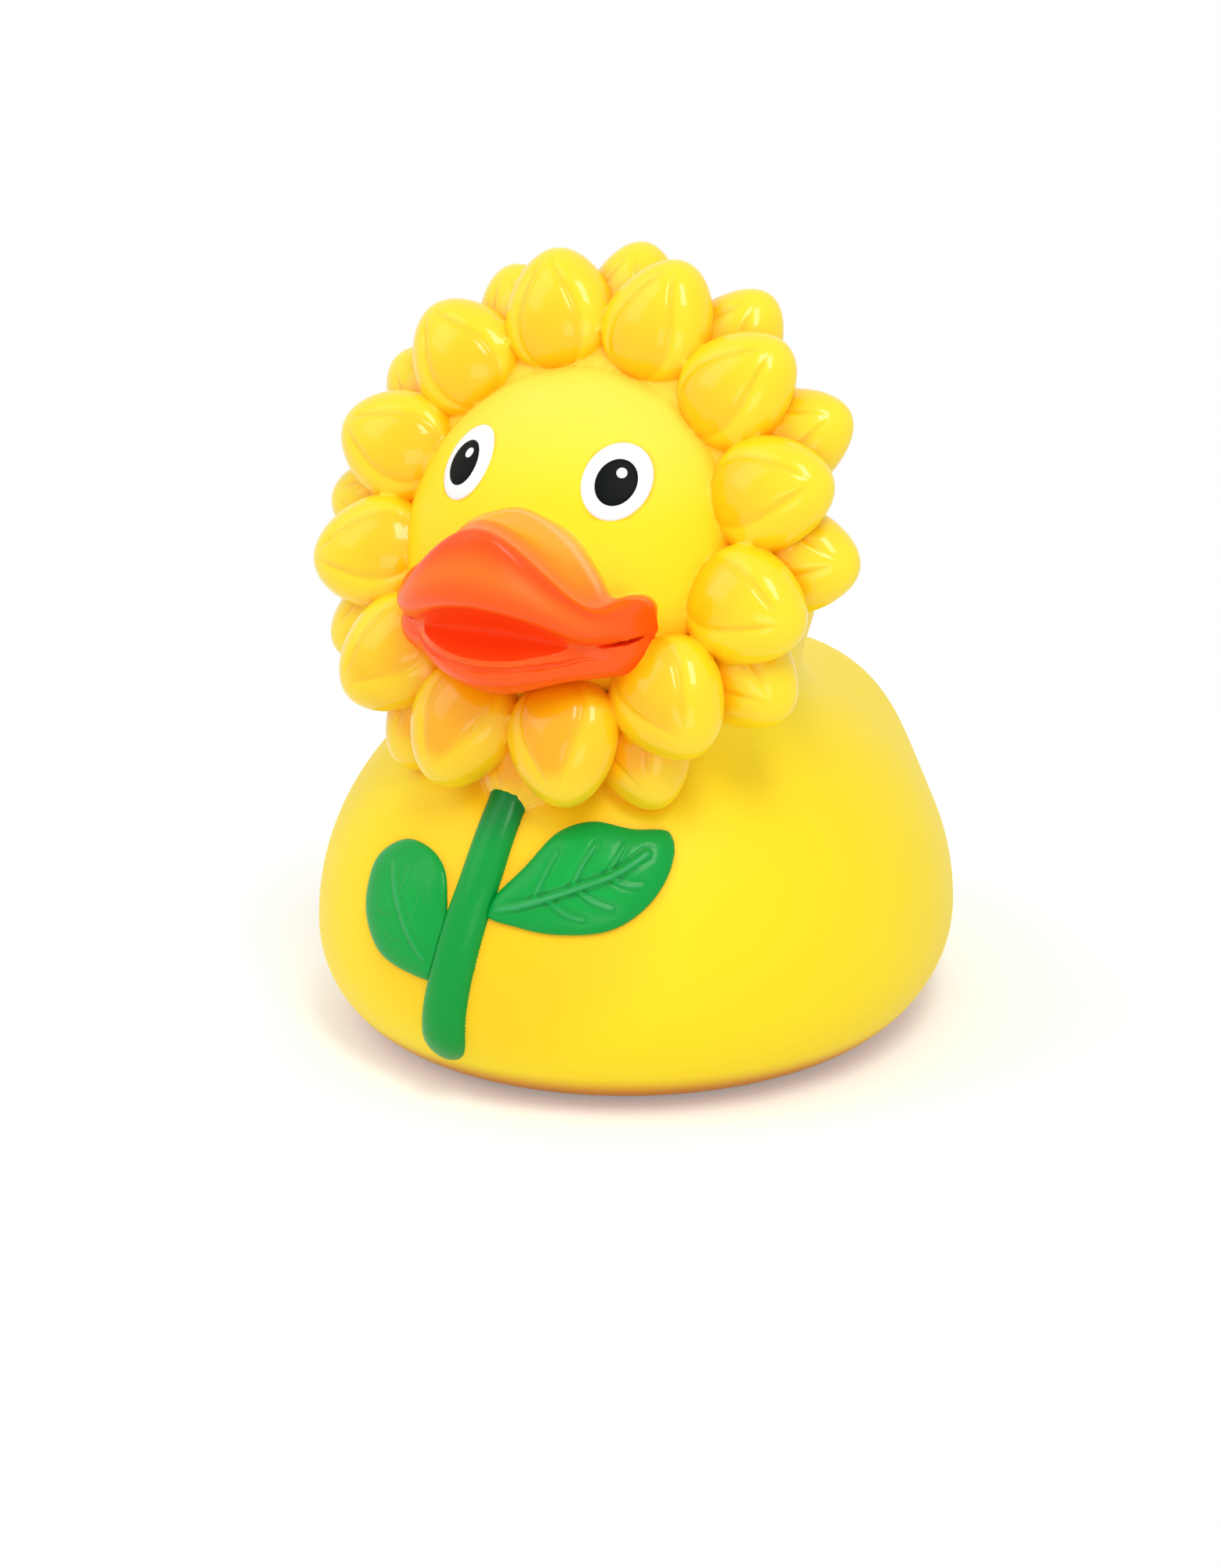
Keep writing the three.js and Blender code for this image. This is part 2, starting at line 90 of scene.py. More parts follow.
# Bill, eyes, stem and leaves, in millimetres. Spreads and places round the bill are in degrees.
BILL_PITCH = math.radians(10)
BILL_ROOT_FORWARD = 17.0
BILL_LENGTH = 14.8
BILL_ROOT_DEPTH = 9.0
BILL_HALF_WIDTH = 14.0
MOUTH_DROP = 4.6
MOUTH_GAPE = 5.4
MOUTH_SPREAD = 54.0
MOUTH_CORNER = math.radians(80)
MOUTH_SEAM = 0.45
MOUTH_DEPTH_SHARE = 0.4
SEAM_DEPTH_SHARE = 0.05
BROW_HEIGHT = 12.0
SIDE_LIP_HEIGHT = 3.5
FRONT_LOBE_HEIGHT = 5.4
LOBE_SPREAD = 35.0
CHEEK_RISE, CHEEK_AT, CHEEK_SPREAD = 1.0, 90.0, 20.0
SHOULDER_RISE, SHOULDER_AT, SHOULDER_SPREAD = 2.6, 68.0, 24.0
WAVE_RISE, WAVE_RISE_SPREAD = 1.2, 30.0
WAVE_DIP, WAVE_DIP_AT, WAVE_DIP_SPREAD = 1.6, 56.0, 20.0
SADDLE_FALL = 2.7
LIP_CREST_SHARE = 0.84
CREST_FRONT_SHARE, CREST_FRONT_SPREAD = 0.11, 42.0
LIP_BULGE = 1.085
LOWER_BILL_DEPTH = 8.6
LOWER_SIDE_DEPTH = 5.2
LIP_GROOVE_DROP = 1.15
LIP_GROOVE_RADIUS = 0.44
LIP_GROOVE_SPREAD = math.radians(62)
EYE_SPREAD = math.radians(24.5)
EYE_RISE = math.radians(16.5)
EYE_LEAN = math.radians(15)
EYE_FULLNESS = 4
FILM_FULLNESS = 30
EYE = {"middle": (0, 0), "half": (3.8, 4.9), "relief": 0.3}
PUPIL = {"middle": (-0.05, -0.35), "half": (2.3, 2.95), "relief": 0.36}
GLINT = {"middle": (0.35, 0.75), "half": (0.62, 0.66), "relief": 0.42}
STEM_HALF_WIDTH = 2.5
STEM_FOOT_SPREAD = 0.4
STEM_RELIEF = 1.6
STEM_CLOSING_SHARE = 0.13
LEAF_RELIEF = 1.1
PAD_ROOT = 1.2
WALL = 2.4
VENT_RADIUS = 1.8
VENT_OFFSET = 9.0

# The skin after joining: how far seams are rounded, and how far a point looks for a recess.
SEAM_REACH = 0.9
SEAM_PASSES = 6
SETTLE_REACH = 25.0
RECESS_REACH = 7.0
RECESS_START = 0.06
RECESS_RAYS = 10
RECESS_PASSES = 3
CRISP_ANGLE = math.radians(65)

# Camera and lights, in metres and watts, and the floor, whose shadow reaches out in millimetres.
CAMERA_AZIMUTH = math.radians(28)
CAMERA_ELEVATION = math.radians(17)
CAMERA_DISTANCE = 0.48
CAMERA_TARGET_HEIGHT = 0.0415
AMBIENT = 0.7
KEY_POWER = 2.5
FILL_POWER = 1.6
FRONT_POWER = 1.6
FLOOR_SHADE = 0.88
FLOOR_LIFT = 0.22
SHADOW_REACH = (60.0, 150.0)

# How finely each form is divided, round it and along it.
FORM_GRID = (200, 180)
HOLLOW_GRID = (64, 60)
BED_GRID = (96, 26)
BILL_GRID = (144, 92)
MOUTH_GRID = (30, 92)
GROOVE_GRID = (14, 84)
EYE_GRID = (80, 12)
LEAF_GRID = (150, 46)
STEM_GRID = (27, 90)
VENT_AROUND = 40
PETAL_GRID = (60, 32)

SIDEWAYS = np.array((1.0, 0.0, 0.0))
FACE_FORWARD = np.array((0.0, -math.cos(HEAD_TILT), math.sin(HEAD_TILT)))
FACE_UP = np.array((0.0, math.sin(HEAD_TILT), math.cos(HEAD_TILT)))
BILL_FORWARD = np.array((0.0, -math.cos(BILL_PITCH), math.sin(BILL_PITCH)))
BILL_UP = np.array((0.0, math.sin(BILL_PITCH), math.cos(BILL_PITCH)))

# Outlines in chest coordinates: degrees round from the front, and height.
LEFT_LEAF = [(-24, 27.8), (-29.5, 25.5), (-29.2, 22), (-26.5, 18.6), (-21, 15.6), (-13, 14.6),
             (-6.5, 14.8), (-5.6, 18), (-7, 22), (-10, 26), (-16, 27.8)]
RIGHT_LEAF = [(0.5, 23.2), (7.5, 28.2), (13, 31.4), (21, 32.6), (30, 32), (38.5, 31.6), (38, 28.8),
              (32.5, 25), (25, 22.4), (16, 21.7), (8, 22)]
STEM_LINE = [(-1.2, 35), (-1.3, 30), (-1.7, 26), (-2.9, 21.4), (-4.2, 16.6), (-5.8, 10.6), (-7.3, 4.6)]
LEFT_MIDRIB = [(-9.5, 17), (-14, 19.6), (-19, 23), (-22.5, 25.8)]
RIGHT_MIDRIB = [(3, 23.6), (9.5, 24.8), (19, 26.8), (26, 28.2), (33, 30.2)]
LEFT_VEINS = [[(-13, 19), (-16, 18.4), (-19, 18.6)], [(-16.5, 21.2), (-20, 20.6), (-23, 21)],
              [(-14, 19.8), (-13, 22.4), (-13.5, 24.4)], [(-18, 22.6), (-17.6, 24.6), (-18.4, 26)]]
RIGHT_VEINS = [[(10.5, 25.2), (12, 27.4), (14, 30)], [(17.6, 26.6), (19.6, 28.9), (22, 30.8)],
               [(24.4, 28), (26.4, 29.6), (28.2, 30.9)], [(13, 25.5), (16.5, 24.2), (20, 23.6)],
               [(18.6, 26.7), (21.5, 25.6), (25.4, 24.8)], [(24.8, 28), (28, 27.2), (31.4, 27)]]


# Shapes


def ellipsoid_distance(x, y, z, radii):
    near = np.sqrt((x / radii[0]) ** 2 + (y / radii[1]) ** 2 + (z / radii[2]) ** 2)
    steep = np.sqrt((x / radii[0] ** 2) ** 2 + (y / radii[1] ** 2) ** 2 + (z / radii[2] ** 2) ** 2)
    return near * (near - 1) / np.maximum(steep, 1e-6)


def blended(a, b, blend):
    overlap = np.maximum(0, blend - np.abs(a - b)) / blend
    return np.minimum(a, b) - overlap * overlap * blend / 4


def body_distance(x, y, z):
    radius = np.hypot(x, y)
    depth = np.where(y < 0, BODY_FRONT, BODY_BACK)
    reach = radius / np.hypot(x / BODY_HALF_WIDTH, y / depth)
    down = 1 - np.clip(z, 0, BODY_WIDEST_HEIGHT) / BODY_WIDEST_HEIGHT
    low = radius - reach * (FOOT_SHARE + (1 - FOOT_SHARE) * np.sqrt(1 - down * down))
    rise = BODY_CROWN_HEIGHT - BODY_WIDEST_HEIGHT
    high = ellipsoid_distance(radius, 0, z - BODY_WIDEST_HEIGHT, (reach, 1, rise))
    return np.where(z < BODY_WIDEST_HEIGHT, low, high)


def tail_distance(x, y, z):
    back = y - TAIL_CENTRE[1]
    up = z - TAIL_CENTRE[2]
    along = back * math.cos(TAIL_LIFT) + up * math.sin(TAIL_LIFT)
    above = up * math.cos(TAIL_LIFT) - back * math.sin(TAIL_LIFT)
    return ellipsoid_distance(x - TAIL_CENTRE[0], along, above, TAIL_RADII)


def form_distance(x, y, z):
    torso = blended(body_distance(x, y, z), tail_distance(x, y, z), TAIL_BLEND)
    head = np.sqrt(x * x + (y - HEAD_CENTRE[1]) ** 2 + (z - HEAD_CENTRE[2]) ** 2) - HEAD_RADIUS
    return blended(torso, head, NECK_BLEND)


def form_points(angle, z, outward=0.0):
    """Points of the smooth form at angles in radians round the leaning axis and at heights."""
    angle, z, outward = np.broadcast_arrays(np.asarray(angle, float), z, outward)
    s, c = np.sin(angle), np.cos(angle)
    lean = (z - BODY_WIDEST_HEIGHT) / (HEAD_CENTRE[2] - BODY_WIDEST_HEIGHT)
    axis = HEAD_CENTRE[1] * np.clip(lean, 0, 1)
    inside = np.full(angle.shape, 0.5)
    outside = np.full(angle.shape, BODY_BACK + BODY_HALF_WIDTH)
    for _ in range(30):
        middle = (inside + outside) / 2
        beyond = form_distance(middle * s, axis - middle * c, z) > outward
        outside = np.where(beyond, middle, outside)
        inside = np.where(beyond, inside, middle)
    return np.stack([inside * s, axis - inside * c, z], -1)


def chest(angle, z, h=0.0):
    return form_points(np.radians(angle), z, h)


def smooth_line(points, count, closed=False):
    """Catmull-Rom through the points, respaced evenly."""
    points = np.array(points, float)
    if closed:
        padded = np.vstack([points[-1], points, points[:2]])
    else:
        padded = np.vstack([2 * points[0] - points[1], points, 2 * points[-1] - points[-2]])
    t = np.linspace(0, 1, 24, endpoint=False)[:, None]
    runs = []
    for a, b, c, d in zip(padded, padded[1:], padded[2:], padded[3:]):
        runs.append(0.5 * (2 * b + (c - a) * t + (2 * a - 5 * b + 4 * c - d) * t ** 2
                           + (3 * b - a - 3 * c + d) * t ** 3))
    dense = np.vstack([*runs, padded[-2]])
    far = np.concatenate([[0], np.cumsum(np.linalg.norm(np.diff(dense, axis=0), axis=1))])
    stops = np.linspace(0, far[-1], count + 1 if closed else count)[:count]
    return np.stack([np.interp(stops, far, dense[:, k]) for k in range(dense.shape[1])], -1)


part_numbers = itertools.count(1)


def piece(name, points, faces, material):
    """An object from points in millimetres, its faces flipped when a volume summed over the first three
    corners of each face is negative, and its part marked on them.
    """
    mesh = bpy.data.meshes.new(name)
    points = np.asarray(points, float)
    mesh.from_pydata((points * MM).tolist(), [], faces)
    mesh.validate()
    corners = np.array([points[list(f)[:3]] for f in faces])
    volume = np.einsum("ij,ij->i", corners[:, 0], np.cross(corners[:, 1], corners[:, 2])).sum()
    if volume < 0:
        mesh.flip_normals()
    mesh.materials.append(material)
    part = mesh.attributes.new("part", "INT", "FACE")
    part.data.foreach_set("value", np.full(len(mesh.polygons), next(part_numbers), np.int32))
    made = bpy.data.objects.new(name, mesh)
    bpy.context.scene.collection.objects.link(made)
    return made


def loft(name, rings, start, end, material):
    """A closed surface from rings of equal length, with a point at each end."""
    rings = np.asarray(rings, float)
    count, around = rings.shape[:2]
    points = np.vstack([[start], rings.reshape(-1, 3), [end]])
    last = len(points) - 1
    faces = []
    for i in range(around):
        j = (i + 1) % around
        faces.append((0, 1 + j, 1 + i))
        for ring in range(count - 1):
            low, high = 1 + ring * around, 1 + (ring + 1) * around
            faces.append((low + i, low + j, high + j, high + i))
        top = 1 + (count - 1) * around
        faces.append((last, top + i, top + j))
    return piece(name, points, faces, material)


def ringed_form(name, grid, outward, material):
    around, levels = grid
    angles = np.linspace(0, 2 * math.pi, around, endpoint=False)
    low = max(0.0, -outward)
    crown = HEAD_CENTRE[2] + HEAD_RADIUS + outward
    t = np.linspace(0, 1, levels, endpoint=False)
    foot = low + (BODY_WIDEST_HEIGHT - low) * (1 - np.cos(math.pi / 2 * t[::5]))
    middle = BODY_WIDEST_HEIGHT + (HEAD_CENTRE[2] - BODY_WIDEST_HEIGHT) * t[::2]
    top = HEAD_CENTRE[2] + (crown - HEAD_CENTRE[2]) * np.sin(math.pi / 2 * t[::3])
    heights = np.concatenate([foot, middle, top])
    rings = form_points(angles[None, :], heights[:, None], outward)
    return loft(name, rings, (0, 0, low), (0, HEAD_CENTRE[1], crown), material)


def mane_bed(material):
    across = np.linspace(0, 2 * math.pi, BED_GRID[0], endpoint=False)
    rings = []
    for sweep in np.linspace(0, math.pi, BED_GRID[1])[1:-1]:
        radius = MANE_BED_RADIUS * math.sin(sweep)
        rings.append(np.outer(np.sin(across), SIDEWAYS) * radius
                     + np.outer(np.cos(across), FACE_UP) * radius
                     + FACE_FORWARD * MANE_BED_HALF_DEPTH * math.cos(sweep))
    forward = FACE_FORWARD * (FRONT_ROW["Forward"] + BACK_ROW["Forward"]) / 2
    centre = HEAD_CENTRE + forward + FACE_UP * MANE_RISE
    ends = [centre + FACE_FORWARD * MANE_BED_HALF_DEPTH * side for side in (1, -1)]
    return loft("mane_bed", np.array(rings) + centre, *ends, material)


def bill_point(x, forward, up):
    x, forward, up = np.broadcast_arrays(np.asarray(x, float), forward, up)
    return (HEAD_CENTRE + x[..., None] * SIDEWAYS + (BILL_ROOT_FORWARD + forward)[..., None] * BILL_FORWARD
            + (up - MOUTH_DROP)[..., None] * BILL_UP)


def bell(value, centre, width):
    """One at the centre, and close to nothing two widths away."""
    if isinstance(value, Wire):
        return value.bell(centre, width)
    return np.exp(-((value - centre) / width) ** 2)


def eased_step(value, low, high):
    t = np.clip((value - low) / (high - low), 0, 1)
    return t * t * (3 - 2 * t)


def lip_wave(degrees):
    rise = WAVE_RISE * bell(degrees, 0, WAVE_RISE_SPREAD)
    return rise - WAVE_DIP * bell(degrees, WAVE_DIP_AT, WAVE_DIP_SPREAD)


def lip_crest(degrees):
    lobe = FRONT_LOBE_HEIGHT * bell(degrees, 0, LOBE_SPREAD)
    return SIDE_LIP_HEIGHT + lobe + CHEEK_RISE * bell(degrees, CHEEK_AT, CHEEK_SPREAD)


def crest_share(degrees):
    return LIP_CREST_SHARE + CREST_FRONT_SHARE * bell(degrees, 0, CREST_FRONT_SPREAD)


def edge_share(degrees):
    return 0.95 + 0.135 * eased_step(degrees, 56, 74)


def lower_share(degrees):
    return 0.9 + 0.185 * eased_step(degrees, 50, 76)


def lower_depth(degrees):
    return LOWER_SIDE_DEPTH + (LOWER_BILL_DEPTH - LOWER_SIDE_DEPTH) * bell(degrees, 0, 55)


UNDER_ROLL = ((0.98, 0.08), (1, 0.34), (0.97, 0.64), (0.87, 0.86), (0.64, 0.975), (0.3, 1.0))


def bill_outline(angle, share):
    """Sideways and forward places of a share of the bill's outline at an angle from its tip."""
    reach = np.where(np.cos(angle) > 0, BILL_LENGTH, BILL_ROOT_DEPTH)
    return BILL_HALF_WIDTH * share * np.sin(angle), reach * share * np.cos(angle)


def bill_profile(degrees):
    """Share and height from the brow, over the lip's crest and its roll, to the lower bill."""
    crest, wave, ridge = lip_crest(degrees), lip_wave(degrees), crest_share(degrees)
    line = [(0.0, BROW_HEIGHT)]
    for part in (0.22, 0.4, 0.56, 0.7, 0.82, 0.91):
        fall = BROW_HEIGHT - (BROW_HEIGHT - SIDE_LIP_HEIGHT) * part ** SADDLE_FALL
        shoulder = SHOULDER_RISE * bell(degrees, SHOULDER_AT, SHOULDER_SPREAD) * math.sin(math.pi * part)
        lobe = (crest - SIDE_LIP_HEIGHT) * bell(part, 1, 0.2)
        line.append((part * ridge, fall + shoulder + lobe + wave * part))
    corner = eased_step(degrees, 56, 74)
    for out, rise in ((0, 1), (0.45, 0.99), (0.82, 0.9), (1, 0.66), (0.98, 0.36),
                      (0.7 + 0.32 * corner, 0.1)):
        line.append((ridge + (LIP_BULGE - ridge) * out, crest * rise + wave))
    line.append((edge_share(degrees), wave))
    for out, drop in UNDER_ROLL:
        line.append((lower_share(degrees) * out, wave * (1 - drop) - lower_depth(degrees) * drop))
    return np.array([*line, (0.0, -LOWER_BILL_DEPTH)])


def bill(material):
    angles = np.linspace(-math.pi, math.pi, BILL_GRID[0], endpoint=False)
    columns = []
    for angle in angles:
        profile = bill_profile(abs(math.degrees(angle))) * (BILL_HALF_WIDTH, 1)
        share, height = smooth_line(profile, BILL_GRID[1])[1:-1].T
        columns.append(bill_point(*bill_outline(angle, share / BILL_HALF_WIDTH), height))
    rings = np.stack(columns, 1)
    return loft("bill", rings, bill_point(0, 0, BROW_HEIGHT), bill_point(0, 0, -LOWER_BILL_DEPTH), material)


def gape_at(degrees):
    across = min(1.0, degrees / MOUTH_SPREAD)
    return MOUTH_SEAM + (MOUTH_GAPE - MOUTH_SEAM) * max(0.0, math.cos(math.pi / 2 * across)) ** 1.1


def mouth(material):
    """The open mouth, to be cut away: it gapes in front and narrows to a seam at each corner."""
    rings = []
    for angle in np.linspace(-MOUTH_CORNER, MOUTH_CORNER, MOUTH_GRID[1])[1:-1]:
        degrees = abs(math.degrees(angle))
        gape = gape_at(degrees)
        inner = 1 - MOUTH_DEPTH_SHARE * min(1.0, gape / MOUTH_GAPE + SEAM_DEPTH_SHARE)
        halfway = (1 + inner) / 2
        section = smooth_line([(1.3, 0), (0.98, 0.0), (halfway, 0.06), (inner, 0.5), (halfway, 0.94),
                               (0.98, 1.0), (1.3, 1)], MOUTH_GRID[0])
        height = lip_wave(degrees) - gape * section[:, 1]
        rings.append(bill_point(*bill_outline(angle, section[:, 0]), height))
    ends = []
    for angle in (-MOUTH_CORNER, MOUTH_CORNER):
        degrees = abs(math.degrees(angle))
        height = lip_wave(degrees) - MOUTH_SEAM / 2
        ends.append(bill_point(*bill_outline(angle, edge_share(degrees)), height))
    return loft("mouth", rings, *ends, material)


def lip_groove(material):
    """The thin groove under the lower lip's rim, to be cut away."""
    around = np.linspace(0, 2 * math.pi, GROOVE_GRID[0], endpoint=False)
    rings, middles = [], []
    for angle in np.linspace(-LIP_GROOVE_SPREAD, LIP_GROOVE_SPREAD, GROOVE_GRID[1]):
        degrees = abs(math.degrees(angle))
        wave, depth = lip_wave(degrees), lower_depth(degrees)
        height = wave - gape_at(degrees) - LIP_GROOVE_DROP
        drops = [0.0, *(wave * drop + depth * drop for _, drop in UNDER_ROLL)]
        shares = [edge_share(degrees), *(lower_share(degrees) * out for out, _ in UNDER_ROLL)]
        share = np.interp(wave - height, drops, shares)
        radius = LIP_GROOVE_RADIUS * math.sqrt(max(0.03, 1 - (angle / LIP_GROOVE_SPREAD) ** 4))
        x, forward = bill_outline(angle, share)
        rings.append(bill_point(x + math.sin(angle) * radius * np.cos(around),
                                forward + math.cos(angle) * radius * np.cos(around),
                                height + radius * np.sin(around)))
        middles.append(bill_point(x, forward, height))
    return loft("lip_groove", rings, middles[0], middles[-1], material)


def pad(name, outline, surface, relief, rings, material, fullness=4, carving=None):
    """A raised pad on a curved surface, with its top carved by a function of the outline's coordinates."""
    outline = np.asarray(outline, float)
    middle = outline.mean(0)
    made, carved = [], [0.0]
    for share in 1 - np.linspace(1, 0, rings + 1)[1:] ** 1.5:
        at = middle + (outline - middle) * share
        height = relief * np.sqrt(max(0.0, 1 - share ** fullness)) * np.ones(len(at))
        if carving is not None:
            depth = carving(at) * (1 - share ** 6)
            height = height + depth
            carved.extend(depth)
        made.append(surface(at[:, 0], at[:, 1], height))
    for share in (1.0, 0.5):
        at = middle + (outline - middle) * share
        made.append(surface(at[:, 0], at[:, 1], -PAD_ROOT))
    top = relief + (0 if carving is None else carving(middle[None])[0])
    finished = loft(name, made, surface(*middle, top), surface(*middle, -PAD_ROOT), material)
    if carving is not None:
        carved[0] = top - relief
        carved.extend([0.0] * (len(finished.data.vertices) - len(carved)))
        mark = finished.data.attributes.new("carved", "FLOAT", "POINT")
        mark.data.foreach_set("value", carved)
    return finished


def eye_axes(side):
    spread = EYE_SPREAD * side
    out = (SIDEWAYS * math.sin(spread) * math.cos(EYE_RISE)
           + FACE_FORWARD * math.cos(spread) * math.cos(EYE_RISE)
           + FACE_UP * math.sin(EYE_RISE))
    up = FACE_UP - out * (FACE_UP @ out)
    up /= np.linalg.norm(up)
    return out, up, np.cross(up, out)


def eye_patch(name, side, middle, half, relief, fullness, material):
    """One oval of an eye's paint, as a thin raised film on the round of the head."""
    out, up, across = eye_axes(side)
    angle = np.linspace(0, 2 * math.pi, EYE_GRID[0], endpoint=False)
    u, v = half[0] * np.cos(angle), half[1] * np.sin(angle)
    lean = EYE_LEAN * side
    outline = np.stack([middle[0] + u * math.cos(lean) + v * math.sin(lean),
                        middle[1] + v * math.cos(lean) - u * math.sin(lean)], -1)

    def surface(u, v, h):
        u, v, h = np.broadcast_arrays(np.asarray(u, float), v, h)
        way = out * HEAD_RADIUS + u[..., None] * across + v[..., None] * up
        way = way / np.linalg.norm(way, axis=-1, keepdims=True)
        return HEAD_CENTRE + way * (HEAD_RADIUS + h)[..., None]

    return pad(name, outline, surface, relief, EYE_GRID[1], material, fullness)


def eyes(white, black):
    layers = (("eye", EYE, EYE_FULLNESS, white), ("pupil", PUPIL, FILM_FULLNESS, black),
              ("glint", GLINT, FILM_FULLNESS, white))
    return [eye_patch(name, side, **film, fullness=fullness, material=material)
            for side in (1, -1) for name, film, fullness, material in layers]


def line_distance(at, line):
    """Distance from points to a line of points, both in chest coordinates, in millimetres."""
    scale = np.array((0.6, 1.0))
    a, b = np.asarray(line[:-1]) * scale, np.asarray(line[1:]) * scale
    p = (at * scale)[:, None, :]
    run = b - a
    t = np.clip(((p - a) * run).sum(-1) / (run * run).sum(-1), 0, 1)
    return np.linalg.norm(p - a - run * t[..., None], axis=-1).min(1)


def leaf(name, points, midrib, veins, depth, material):
    """A raised leaf with a midrib and carved veins, of a share of the full depth."""
    midrib = smooth_line(midrib, 24)
    veins = [smooth_line(v, 12) for v in veins]

    def carving(at):
        rib = line_distance(at, midrib)
        cut = np.min([line_distance(at, v) for v in veins], axis=0)
        midrib_relief = 0.24 * bell(rib, 0, 0.24) - 0.12 * bell(rib, 0.54, 0.22)
        vein_relief = 0.15 * bell(cut, 0, 0.18) - 0.08 * bell(cut, 0.42, 0.2)
        return depth * (midrib_relief + vein_relief * (rib > 0.4))

    outline = smooth_line(points, LEAF_GRID[0], closed=True)
    return pad(name, outline, chest, LEAF_RELIEF, LEAF_GRID[1], material, carving=carving)


def stem(material):
    line = smooth_line(STEM_LINE, STEM_GRID[1])
    rings = []
    for i, (angle, z) in enumerate(line):
        t = i / (len(line) - 1)
        radius = np.linalg.norm(chest(angle, z)[:2])
        near_foot = max(0.0, t - (1 - STEM_CLOSING_SHARE)) / STEM_CLOSING_SHARE
        close = math.sqrt(max(0.02, 1 - near_foot ** 2))
        width = (STEM_HALF_WIDTH + STEM_FOOT_SPREAD * t) * close
        sweep = np.linspace(0, math.pi, STEM_GRID[0])
        turn = np.degrees(width * np.cos(sweep) / radius)
        top = chest(angle + turn, z, STEM_RELIEF * close * np.sin(sweep))
        inner = math.degrees(width / radius) / 2
        root = chest(np.array((angle - inner, angle + inner)), z, -PAD_ROOT)
        rings.append(np.vstack([top, root]))
    ends = [chest(*line[i], -PAD_ROOT / 2) for i in (0, -1)]
    return loft("stem", rings, *ends, material)


def vent(material):
    around = np.linspace(0, 2 * math.pi, VENT_AROUND, endpoint=False)
    circle = np.stack([VENT_RADIUS * np.sin(around), VENT_OFFSET + VENT_RADIUS * np.cos(around)], -1)
    flare = np.array((0, VENT_OFFSET))
    rings = []
    for z, grow in ((-1.0, 1.5), (0.0, 1.22), (0.15, 1.1), (0.4, 1.0), (2 * WALL, 1.0)):
        at = flare + (circle - flare) * grow
        rings.append(np.column_stack([at, np.full(len(at), z)]))
    return loft("vent", rings, (0, VENT_OFFSET, -1.0), (0, VENT_OFFSET, 2 * WALL), material)


# Node trees


class Wire:
    """A number in a node tree. Sums, products and other terms of wires add Math nodes."""

    def __init__(self, tree, socket):
        self.tree = tree
        self.socket = socket

    def math(self, operation, *others, swapped=False):
        made = self.tree.nodes.new("ShaderNodeMath")
        made.operation = operation
        terms = [self, *others]
        if swapped:
            terms.reverse()
        for i, term in enumerate(terms):
            if isinstance(term, Wire):
                self.tree.links.new(term.socket, made.inputs[i])
            else:
                made.inputs[i].default_value = term
        return Wire(self.tree, made.outputs[0])

    def __add__(self, other):
        return self.math("ADD", other)

    __radd__ = __add__

    def __sub__(self, other):
        return self.math("SUBTRACT", other)

    def __rsub__(self, other):
        return self.math("SUBTRACT", other, swapped=True)

    def __mul__(self, other):
        return self.math("MULTIPLY", other)

    __rmul__ = __mul__

    def __truediv__(self, other):
        return self.math("DIVIDE", other)

    def __pow__(self, other):
        return self.math("POWER", other)

    def __neg__(self):
        return self.math("MULTIPLY", -1.0)

    def __abs__(self):
        return self.math("ABSOLUTE")

    def __lt__(self, other):
        return self.math("LESS_THAN", other)

    def minimum(self, other):
        return self.math("MINIMUM", other)

    def maximum(self, other):
        return self.math("MAXIMUM", other)

    def sin(self):
        return self.math("SINE")

    def cos(self):
        return self.math("COSINE")

    def sqrt(self):
        return self.math("SQRT")

    def bell(self, centre, width):
        """One at the centre, and close to nothing two widths away."""
        off = (self - centre) / width
        return (-(off * off)).math("EXPONENT")

    def ramp(self, low, high):
        """Runs smoothly from 0 at low to 1 at high."""
        made = self.tree.nodes.new("ShaderNodeMapRange")
        made.interpolation_type = "SMOOTHSTEP"
        self.tree.links.new(self.socket, made.inputs["Value"])
        made.inputs["From Min"].default_value = min(low, high)
        made.inputs["From Max"].default_value = max(low, high)
        if low > high:
            made.inputs["To Min"].default_value = 1.0
            made.inputs["To Max"].default_value = 0.0
        return Wire(self.tree, made.outputs[0])


class Tree:
    """Adds nodes to one node tree."""

    def __init__(self, tree):
        self.tree = tree

    def node(self, kind, settings=None, **values):
        """A node of a type: its settings first, then the values or links of its sockets."""
        made = self.tree.nodes.new(kind)
        for name, value in (settings or {}).items():
            setattr(made, name, value)
        self.set(made, values)
        return made

    def set(self, made, values):
        for name, value in values.items():
            key = int(name[1:]) if name[0] == "i" and name[1:].isdigit() else name.replace("_", " ")
            socket = made.inputs[key]
            if isinstance(value, Wire):
                self.tree.links.new(value.socket, socket)
            else:
                socket.default_value = value

    def out(self, made, key=0):
        return Wire(self.tree, made.outputs[key])

    def seen(self):
        """One where the camera sees the backdrop, straight on or in a gloss."""
        path = self.node("ShaderNodeLightPath")
        rays = [self.out(path, name) for name in ("Is Camera Ray", "Is Glossy Ray", "Is Transmission Ray")]
        return rays[0].maximum(rays[1]).maximum(rays[2])


# Petals


def openness(along):
    """How open a petal's panel is, from 1 at the root to 0 near the tip."""
    return (1 - ((along + 1).maximum(0.0) / PANEL_REACH) ** PANEL_CLOSING).maximum(0.0)


def crease_share(panel_share, open_share):
    """Where the creases run, as a share of the petal's half width."""
    return panel_share * open_share + CLOSED_SHARE * (1 - open_share)


def hang_share(cosine):
    """How far a petal hangs forward, from 0 at the top of the mane to 1 at the bottom."""
    return ((1 - cosine) / 2) ** HANG_POWER


